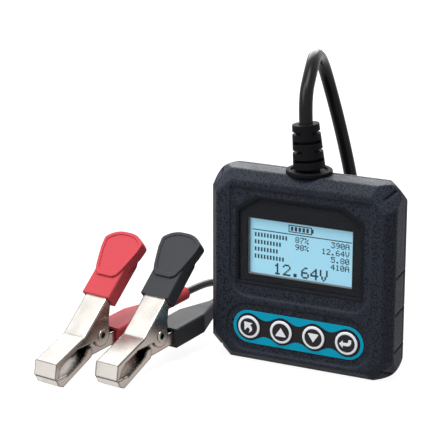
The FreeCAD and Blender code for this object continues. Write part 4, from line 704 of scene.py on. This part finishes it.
class TESTER_OT_case(bpy.types.Operator):
    """Finish the covers, the boot, the splitter and the screws"""

    bl_idname = "tester.case"
    bl_label = "Case"

    def execute(self, context):
        low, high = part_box("display_lens")
        grow = sizes().lens_band
        depths = (front_of("front_cover") + depth for depth in BAND_DEPTHS)
        band = ((high.x + grow, low.z - grow, high.z + grow), LENS_CUT, *depths)
        # The case's wide edges get a painted highlight, edge times the colour.
        shell = plastic("case_grain", colours().case, cell=0.85, depth=0.19, rough=(0.36, 0.46), edge=1.6,
                        edge_round=2.4, specular=0.08, mottle=0.15, band=band)
        dress(shell, "front_cover", "rear_cover")
        rubber = plastic("boot_rubber", colours().rubber, cell=0.3, depth=0.008, rough=(0.56, 0.66), edge=1.6,
                         edge_round=0.3, specular=0.06)
        dress(rubber, "cable_boot", "cable_splitter")
        screw = metal("screw_steel", SCREW_STEEL, line=0.08, rough=(0.3, 0.4))
        dress(screw, "case_screws", "board_screws")
        return {"FINISHED"}


class TESTER_OT_board(bpy.types.Operator):
    """Finish the circuit board and what sits on it"""

    bl_idname = "tester.board"
    bl_label = "Circuit board"

    def execute(self, context):
        finishes = (
            (plastic("solder_mask", (0.012, 0.11, 0.035, 1), cell=1.2, depth=0.01, rough=(0.3, 0.4)), "main_board"),
            (plastic("chip_epoxy", (0.014, 0.014, 0.015, 1), cell=0.2, depth=0.01), "microcontroller", "transistors"),
            (plastic("switch_nylon", (0.02, 0.02, 0.022, 1), cell=0.3, depth=0.01), "tact_switches", "buzzer"),
            (plastic("stem_nylon", (0.5, 0.5, 0.48, 1), cell=0.3, depth=0.01), *("stem_" + n for n in KEY_NAMES)),
            (plastic("resistor_ceramic", (0.55, 0.53, 0.48, 1), cell=0.5, depth=0.04), "load_resistors"),
            (plastic("terminal_nylon", (0.02, 0.2, 0.06, 1), cell=0.4, depth=0.01), "cable_terminal"),
            (plastic("capacitor_sleeve", (0.02, 0.03, 0.09, 1), cell=0.4, depth=0.01), "capacitors"),
            (plastic("core_sleeve", (0.35, 0.03, 0.03, 1), cell=0.3, depth=0.008), "cable_cores"),
            (metal("pin_tin", PIN_TIN, line=0.05), "lcd_pins"),
        )
        for material, *names in finishes:
            dress(material, *names)
        return {"FINISHED"}


# Display

def dot_box(column, row, wide, high):
    """A block of dots, counted from the display's upper left corner: left, bottom, right and top in metres."""
    pitch = sizes().dot
    low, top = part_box("lcd_glass")
    left = (low.x + top.x) / 2 + (column - DISPLAY_COLUMNS / 2) * pitch
    upper = (low.z + top.z) / 2 + (DISPLAY_ROWS / 2 - row) * pitch
    spill = pitch * DOT_SPREAD
    return (left - spill, upper - high * pitch - spill, left + wide * pitch + spill, upper + spill)


def figure_dots(text, column, row, scale=1):
    """Dots of a row of figures; neighbouring dots of one line are joined."""
    blocks = []
    for sign in text:
        for line, dots in enumerate(FIGURES[sign].split()):
            start = 0
            while start < len(dots):
                end = start
                while end < len(dots) and dots[end] == "1":
                    end += 1
                if end > start:
                    blocks.append(dot_box(column + start * scale, row + line * scale, (end - start) * scale, scale))
                start = end + 1
        column += FIGURE_STEP * scale
    return blocks


def bar_dots(column, row, count):
    """A level shown as a row of blocks."""
    step, wide, high = 4, 2, 5
    return [dot_box(column + step * i, row + 1, wide, high) for i in range(count)]


def battery_dots(column, row, wide, high, filled):
    """A plain battery sign: case, pole and filled cells."""
    inset, pole, cell, step = 2, 2, 3, 5
    inner = high - 2 * inset
    blocks = [dot_box(column, row, wide, 1), dot_box(column, row + high - 1, wide, 1), dot_box(column, row, 1, high),
              dot_box(column + wide - 1, row, 1, high), dot_box(column + wide, row + inset, pole, inner)]
    blocks += [dot_box(column + inset + 1 + step * i, row + inset, cell, inner) for i in range(filled)]
    return blocks


class TESTER_OT_display(bpy.types.Operator):
    """Finish the display and draw its figures, bars and battery sign"""

    bl_idname = "tester.display"
    bl_label = "Display"

    def execute(self, context):
        tones = colours()
        low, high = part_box("lcd_glass")
        self.fit_lens()
        dress(plastic("lens_print", tones.mask, cell=0.2, depth=0.001, rough=(0.3, 0.38), edge=1.1,
                      edge_round=0.05, specular=0.1), "lens_mask")
        dress(plastic("lcd_frame_paint", FRAME_PAINT, cell=0.3, depth=0.006, rough=(0.35, 0.5)), "lcd_frame")
        dress(lit_panel("lcd_lit", tones.lcd_lit, tones.lcd_shade, LCD_GLOW, low.x, high.x), "lcd_glass")
        dress(lit_panel("backlight_glow", tones.lcd_lit, tones.lcd_shade, BACKLIGHT_GLOW, low.x, high.x), "backlight")
        ink = plastic("lcd_ink", tones.lcd_ink, cell=0.4, depth=0.001, rough=(0.4, 0.5), edge=1.0,
                      edge_round=0.01)
        mesh = block_mesh("lcd_figures", self.written(), front_of("lcd_glass"), sizes().print_thick)
        piece("lcd_figures", mesh, CASE_BODY, ink)
        return {"FINISHED"}

    def written(self):
        """All dark dots: the heading, the lines and the large figure below them."""
        blocks = battery_dots(column=47, row=1, wide=30, high=9, filled=5)
        blocks.append(dot_box(0, HEADING_ROW, DISPLAY_COLUMNS, 1))
        for row, count, share, figure in DISPLAY_LINES:
            blocks += bar_dots(BAR_COLUMN, row, count)
            blocks += figure_dots(share, SHARE_COLUMN, row)
            blocks += figure_dots(figure, RIGHT_COLUMN - FIGURE_STEP * len(figure), row)
        return blocks + figure_dots("12.64V", column=28, row=51, scale=2)

    def fit_lens(self):
        """The clear lens, a hair smaller than its seat all round and at its back."""
        low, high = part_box("display_lens")
        gap = sizes().lens_gap
        across, down = LENS_CUT
        left, right, bottom, top = low.x + gap, high.x - gap, low.z + gap, high.z - gap
        corners = [(left, bottom), (right, bottom), (right, top - down), (right - across, top), (left + across, top),
                   (left, top - down)]
        thick = high.y - low.y - LENS_BACK_GAP
        lens = flat_piece("lens_clear", [rounded(corners, sizes().lens_round)], thick, low.y + thick, CASE_BODY,
                          clear_lens("lens_acrylic"))
        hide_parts("display_lens")


# Keypad

def band_loops(centres, row):
    """The dark band: wide round each key and narrow between them, with the keys' holes."""
    wide, narrow = sizes().band_wide, sizes().band_narrow
    pitch = centres[1] - centres[0]
    swing = (wide - narrow) / 2
    upper = []
    steps = 90
    for i in range(steps + 1):
        x = centres[0] + (centres[-1] - centres[0]) * i / steps
        upper.append((x, narrow + swing + swing * math.cos(2 * math.pi * (x - centres[0]) / pitch)))
    ends = 24
    right = [(centres[-1] + wide * math.sin(math.pi * i / ends), wide * math.cos(math.pi * i / ends))
             for i in range(1, ends)]
    left = [(centres[0] - wide * math.sin(math.pi * i / ends), -wide * math.cos(math.pi * i / ends))
            for i in range(1, ends)]
    outline = upper + right + [(x, -h) for x, h in reversed(upper)] + left
    low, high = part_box("key_back")
    hole = (high.x - low.x) / 2 - BAND_UNDER_KEY
    return [[(x, row + z) for x, z in outline]] + [ring_points(x, row, hole) for x in centres]


def key_ring(name, centre, front):
    """The white ring, laid over the key's rounded edge."""
    s = sizes()
    lift = s.print_thick
    steps, wrap = 6, 70
    outer, inner = [], []
    for step in range(steps + 1):
        turn = math.radians(wrap * step / steps)
        for line, extra in ((outer, lift), (inner, -lift)):
            line.append((s.ring_edge + (s.edge_round + extra) * math.sin(turn),
                         front + s.edge_round - (s.edge_round + extra) * math.cos(turn)))
    profile = [(s.ring_inner, front + lift), (s.ring_inner, front - lift)] + outer + inner[::-1]
    return turned_mesh(name, profile, centre)


class TESTER_OT_keypad(bpy.types.Operator):
    """Finish the keypad's film and keys, and print the band, rings and signs"""

    bl_idname = "tester.keypad"
    bl_label = "Keypad"

    def execute(self, context):
        tones = colours()
        film = plastic("keypad_film", tones.overlay, cell=0.35, depth=0.004, rough=(0.4, 0.5), edge=1.15,
                       edge_round=0.12, specular=0.1, mottle=0.95)
        dress(film, "keypad_overlay")
        cap = plastic("key_rubber", tones.film, cell=0.35, depth=0.008, rough=(0.42, 0.52), edge=1.4, specular=0.2)
        marks = plastic("mark_print", tones.marks, cell=0.3, depth=0.002, rough=(0.45, 0.55), edge=1.0,
                        edge_round=0.01, mottle=0.96)
        band = plastic("band_print", tones.film, cell=0.35, depth=0.004, rough=(0.42, 0.5), edge=1.0,
                       edge_round=0.01, specular=0.15)
        thick = sizes().print_thick
        middles = [middle_of("key_" + name) for name in KEY_NAMES]
        loops = band_loops([middle.x for middle in middles], middles[0].z)
        flat_piece("keypad_band", loops, thick, front_of("keypad_overlay"), CASE_BODY, band)
        for name, middle in zip(KEY_NAMES, middles):
            node = "key_" + name
            dress(cap, node)
            front = front_of(node)
            ring = key_ring(node + "_ring", (middle.x, middle.z), front)
            piece(node + "_ring", ring, node, marks)
            sign = [(middle.x + x * MM, middle.z + z * MM) for x, z in SIGNS[name]]
            flat_piece(node + "_sign", [sign], thick, front, node, marks)
        return {"FINISHED"}


# Clips

def spring_line(centre, across, ahead):
    """The torsion spring: a leg to the lower arm, turns round the rivet and a leg to the upper arm."""
    up = Vector((0, 0, 1))

    def at(turn):
        aside = COIL_PITCH * (turn - COIL_START - COIL_SWEEP / 2) / (2 * math.pi)
        return centre + across * aside + (ahead * math.cos(turn) + up * math.sin(turn)) * COIL_RADIUS

    def heading(turn):
        way = across * COIL_PITCH / (2 * math.pi) + (up * math.cos(turn) - ahead * math.sin(turn)) * COIL_RADIUS
        return way.normalized()

    steps, lower_steps, upper_steps = 160, 6, 8
    turns = [COIL_START + COIL_SWEEP * i / steps for i in range(steps + 1)]
    first, last = turns[0], turns[-1]
    line = [at(first) - heading(first) * LOWER_LEG * i / lower_steps for i in range(lower_steps, 0, -1)]
    line += [at(turn) for turn in turns]
    line += [at(last) + heading(last) * UPPER_LEG * i / upper_steps for i in range(1, upper_steps + 1)]
    return line


class TESTER_OT_clips(bpy.types.Operator):
    """Finish the jaws, rivets and grips of both clips and wind their springs"""

    bl_idname = "tester.clips"
    bl_label = "Clips"

    def execute(self, context):
        tones = colours()
        # The jaws' edges, bends and side faces get a painted dark reflection, and their channels painted shade.
        jaw = metal("jaw_nickel", tones.steel, line=0.16, depth=0.0016, rough=(0.20, 0.27), shade=0.92, edge=0.05,
                    edge_round=1.3, stretch=40.0, sides=SIDE_PAINTED_REFLECTION)
        rivet = metal("rivet_nickel", tinted(tones.steel, 0.6), line=0.1, depth=0.001, rough=(0.18, 0.3))
        wire = metal("spring_wire", SPRING_STEEL, line=0.06, depth=0.001, rough=(0.25, 0.35))
        crimp = metal("crimp_tin", CRIMP_TIN, line=0.08, depth=0.001)
        # The grips' edges get a painted highlight, edge times the colour.
        grips = {
            "red": plastic("red_grip_vinyl", tones.red, cell=0.35, depth=0.006, rough=(0.4, 0.5), edge=1.12,
                           edge_round=0.4, specular=0.04, mottle=0.96),
            "black": plastic("black_grip_vinyl", tones.black, cell=0.35, depth=0.006, rough=(0.4, 0.5), edge=1.5,
                             edge_round=0.4, specular=0.08, mottle=0.92),
        }
        for colour in CLIP_COLOURS:
            dress(jaw, colour + "_upper_jaw", colour + "_lower_jaw")
            dress(rivet, colour + "_pivot_rivet")
            dress(crimp, colour + "_crimp_terminal")
            dress(grips[colour], colour + "_upper_grip", colour + "_lower_grip")
            self.wind_spring(colour, wire)
        return {"FINISHED"}

    def wind_spring(self, colour, wire):
        """A coil round the clip's pivot, with a leg to the lower jaw at one end and to the upper jaw at the other."""
        joint = next(j for j in frame["joints"] if j["name"] == "open_" + colour + "_clip")
        across = -Vector(joint["axis"]).normalized()
        ahead = Vector((0, 0, 1)).cross(across)
        centre = Vector(joint["pos_m"])
        mesh = tube_mesh(colour + "_spring_coil", spring_line(centre, across, ahead), WIRE_RADIUS)
        obj = bpy.data.objects.new(colour + "_spring_coil", mesh)
        bpy.context.scene.collection.objects.link(obj)
        mesh.materials.append(wire)
        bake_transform(obj)
        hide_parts(colour + "_torsion_spring")


# Stage

def white_floor():
    """A grey floor that looks white to the camera, keeps the shadow and is darker in mirror images."""
    material = bpy.data.materials.new("floor_white")
    material.use_nodes = True
    tree = material.node_tree
    tree.nodes.clear()
    out = tree.nodes.new("ShaderNodeOutputMaterial")
    matt = add(tree, "ShaderNodeBsdfDiffuse", Color=FLOOR_GREY)
    glow = add(tree, "ShaderNodeEmission", Color=(1, 1, 1, 1), Strength=seen_directly(tree, *FLOOR_GLOW, 0.0))
    both = add(tree, "ShaderNodeAddShader")
    feed(tree, both.inputs[0], matt.outputs[0])
    feed(tree, both.inputs[1], glow.outputs[0])
    feed(tree, out.inputs["Surface"], both.outputs[0])
    return material


def seen_directly(tree, seen, mirrored, unseen):
    """One value for what the camera and glass show, one for mirror images and one for light that falls on things."""
    rays = add(tree, "ShaderNodeLightPath")
    direct = reckon(tree, "MAXIMUM", rays.outputs["Is Camera Ray"], rays.outputs["Is Transmission Ray"])
    indirect = spread(tree, rays.outputs["Is Glossy Ray"], 0.0, 1.0, unseen, mirrored)
    return spread(tree, direct, 0.0, 1.0, indirect, seen)


def area_lamp(name, place, aim, size, power):
    lamp = bpy.data.lights.new(name, "AREA")
    lamp.shape = "DISK"
    lamp.size = size
    lamp.energy = power
    obj = bpy.data.objects.new(name, lamp)
    bpy.context.scene.collection.objects.link(obj)
    obj.visible_camera = False
    obj.visible_transmission = False
    obj.location = place
    obj.rotation_mode = "QUATERNION"
    obj.rotation_quaternion = (Vector(aim) - Vector(place)).to_track_quat("-Z", "Y")
    return obj


class TESTER_OT_stage(bpy.types.Operator):
    """Set the floor, the light and the camera"""

    bl_idname = "tester.stage"
    bl_label = "Stage"

    def execute(self, context):
        scene = context.scene
        scene.view_settings.view_transform = "Standard"
        self.lay_floor(scene)
        self.light(scene)
        self.place_camera(scene)
        return {"FINISHED"}

    def lay_floor(self, scene):
        """A square floor, a hair below what stands on it."""
        half = FLOOR_HALF
        mesh = bpy.data.meshes.new("floor")
        mesh.from_pydata([(-half, -half, 0), (half, -half, 0), (half, half, 0), (-half, half, 0)], [], [(0, 1, 2, 3)])
        mesh.materials.append(white_floor())
        floor = bpy.data.objects.new("floor", mesh)
        floor.location.z = -FLOOR_DROP
        scene.collection.objects.link(floor)

    def light(self, scene):
        """A white room, and a lamp in front, behind and above."""
        stage = scene.tester_stage
        world = bpy.data.worlds.new("studio")
        scene.world = world
        world.use_nodes = True
        tree = world.node_tree
        sky = next(node for node in tree.nodes if node.type == "BACKGROUND")
        sky.inputs["Color"].default_value = (1, 1, 1, 1)
        feed(tree, sky.inputs["Strength"], seen_directly(tree, *SKY_GLOW, stage.sky))
        powers = {"key": stage.key_light, "rim": stage.rim_light, "top": stage.top_light}
        for name, lamp in LAMPS.items():
            area_lamp(name + "_lamp", lamp["place"], LIGHT_AIM, lamp["size"], powers[name])

    def place_camera(self, scene):
        """The camera that was fitted to the photograph."""
        level = math.cos(CAMERA_ELEVATION)
        back = Vector((math.sin(CAMERA_AZIMUTH) * level, -math.cos(CAMERA_AZIMUTH) * level,
                       math.sin(CAMERA_ELEVATION)))
        right = Vector((math.cos(CAMERA_AZIMUTH), math.sin(CAMERA_AZIMUTH), 0))
        up = back.cross(right)
        camera = bpy.data.cameras.new("camera")
        camera.sensor_width = SENSOR_WIDTH
        camera.lens = scene.tester_stage.lens
        obj = bpy.data.objects.new("camera", camera)
        scene.collection.objects.link(obj)
        place = Matrix((right, up, back)).transposed().to_4x4()
        place.translation = CAMERA_PLACE
        obj.matrix_world = place
        scene.camera = obj


class TESTER_PT_panel(bpy.types.Panel):
    """The tester's colours, sizes and steps"""

    bl_idname = "TESTER_PT_panel"
    bl_label = "Battery tester"
    bl_space_type = "VIEW_3D"
    bl_region_type = "UI"
    bl_category = "Tester"

    def draw(self, context):
        for group in (context.scene.tester_colours, context.scene.tester_sizes, context.scene.tester_stage):
            box = self.layout.box()
            for name in group.__annotations__:
                box.prop(group, name)
        for operator in OPERATORS:
            self.layout.operator(operator.bl_idname)


OPERATORS = (TESTER_OT_stage, TESTER_OT_cords, TESTER_OT_case, TESTER_OT_board, TESTER_OT_display, TESTER_OT_keypad,
             TESTER_OT_clips)
GROUPS = {"tester_colours": TesterColours, "tester_sizes": TesterSizes, "tester_stage": TesterStage}


def register():
    for cls in (*GROUPS.values(), *OPERATORS, TESTER_PT_panel):
        bpy.utils.register_class(cls)
    for name, cls in GROUPS.items():
        setattr(bpy.types.Scene, name, PointerProperty(type=cls))


def unregister():
    for name in GROUPS:
        delattr(bpy.types.Scene, name)
    for cls in (TESTER_PT_panel, *reversed(OPERATORS), *GROUPS.values()):
        bpy.utils.unregister_class(cls)


def main():
    register()
    bpy.ops.tester.stage()
    bpy.ops.tester.cords()
    bpy.ops.tester.case()
    bpy.ops.tester.board()
    bpy.ops.tester.display()
    bpy.ops.tester.keypad()
    bpy.ops.tester.clips()
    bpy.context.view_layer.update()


if __name__ == "__main__":
    main()
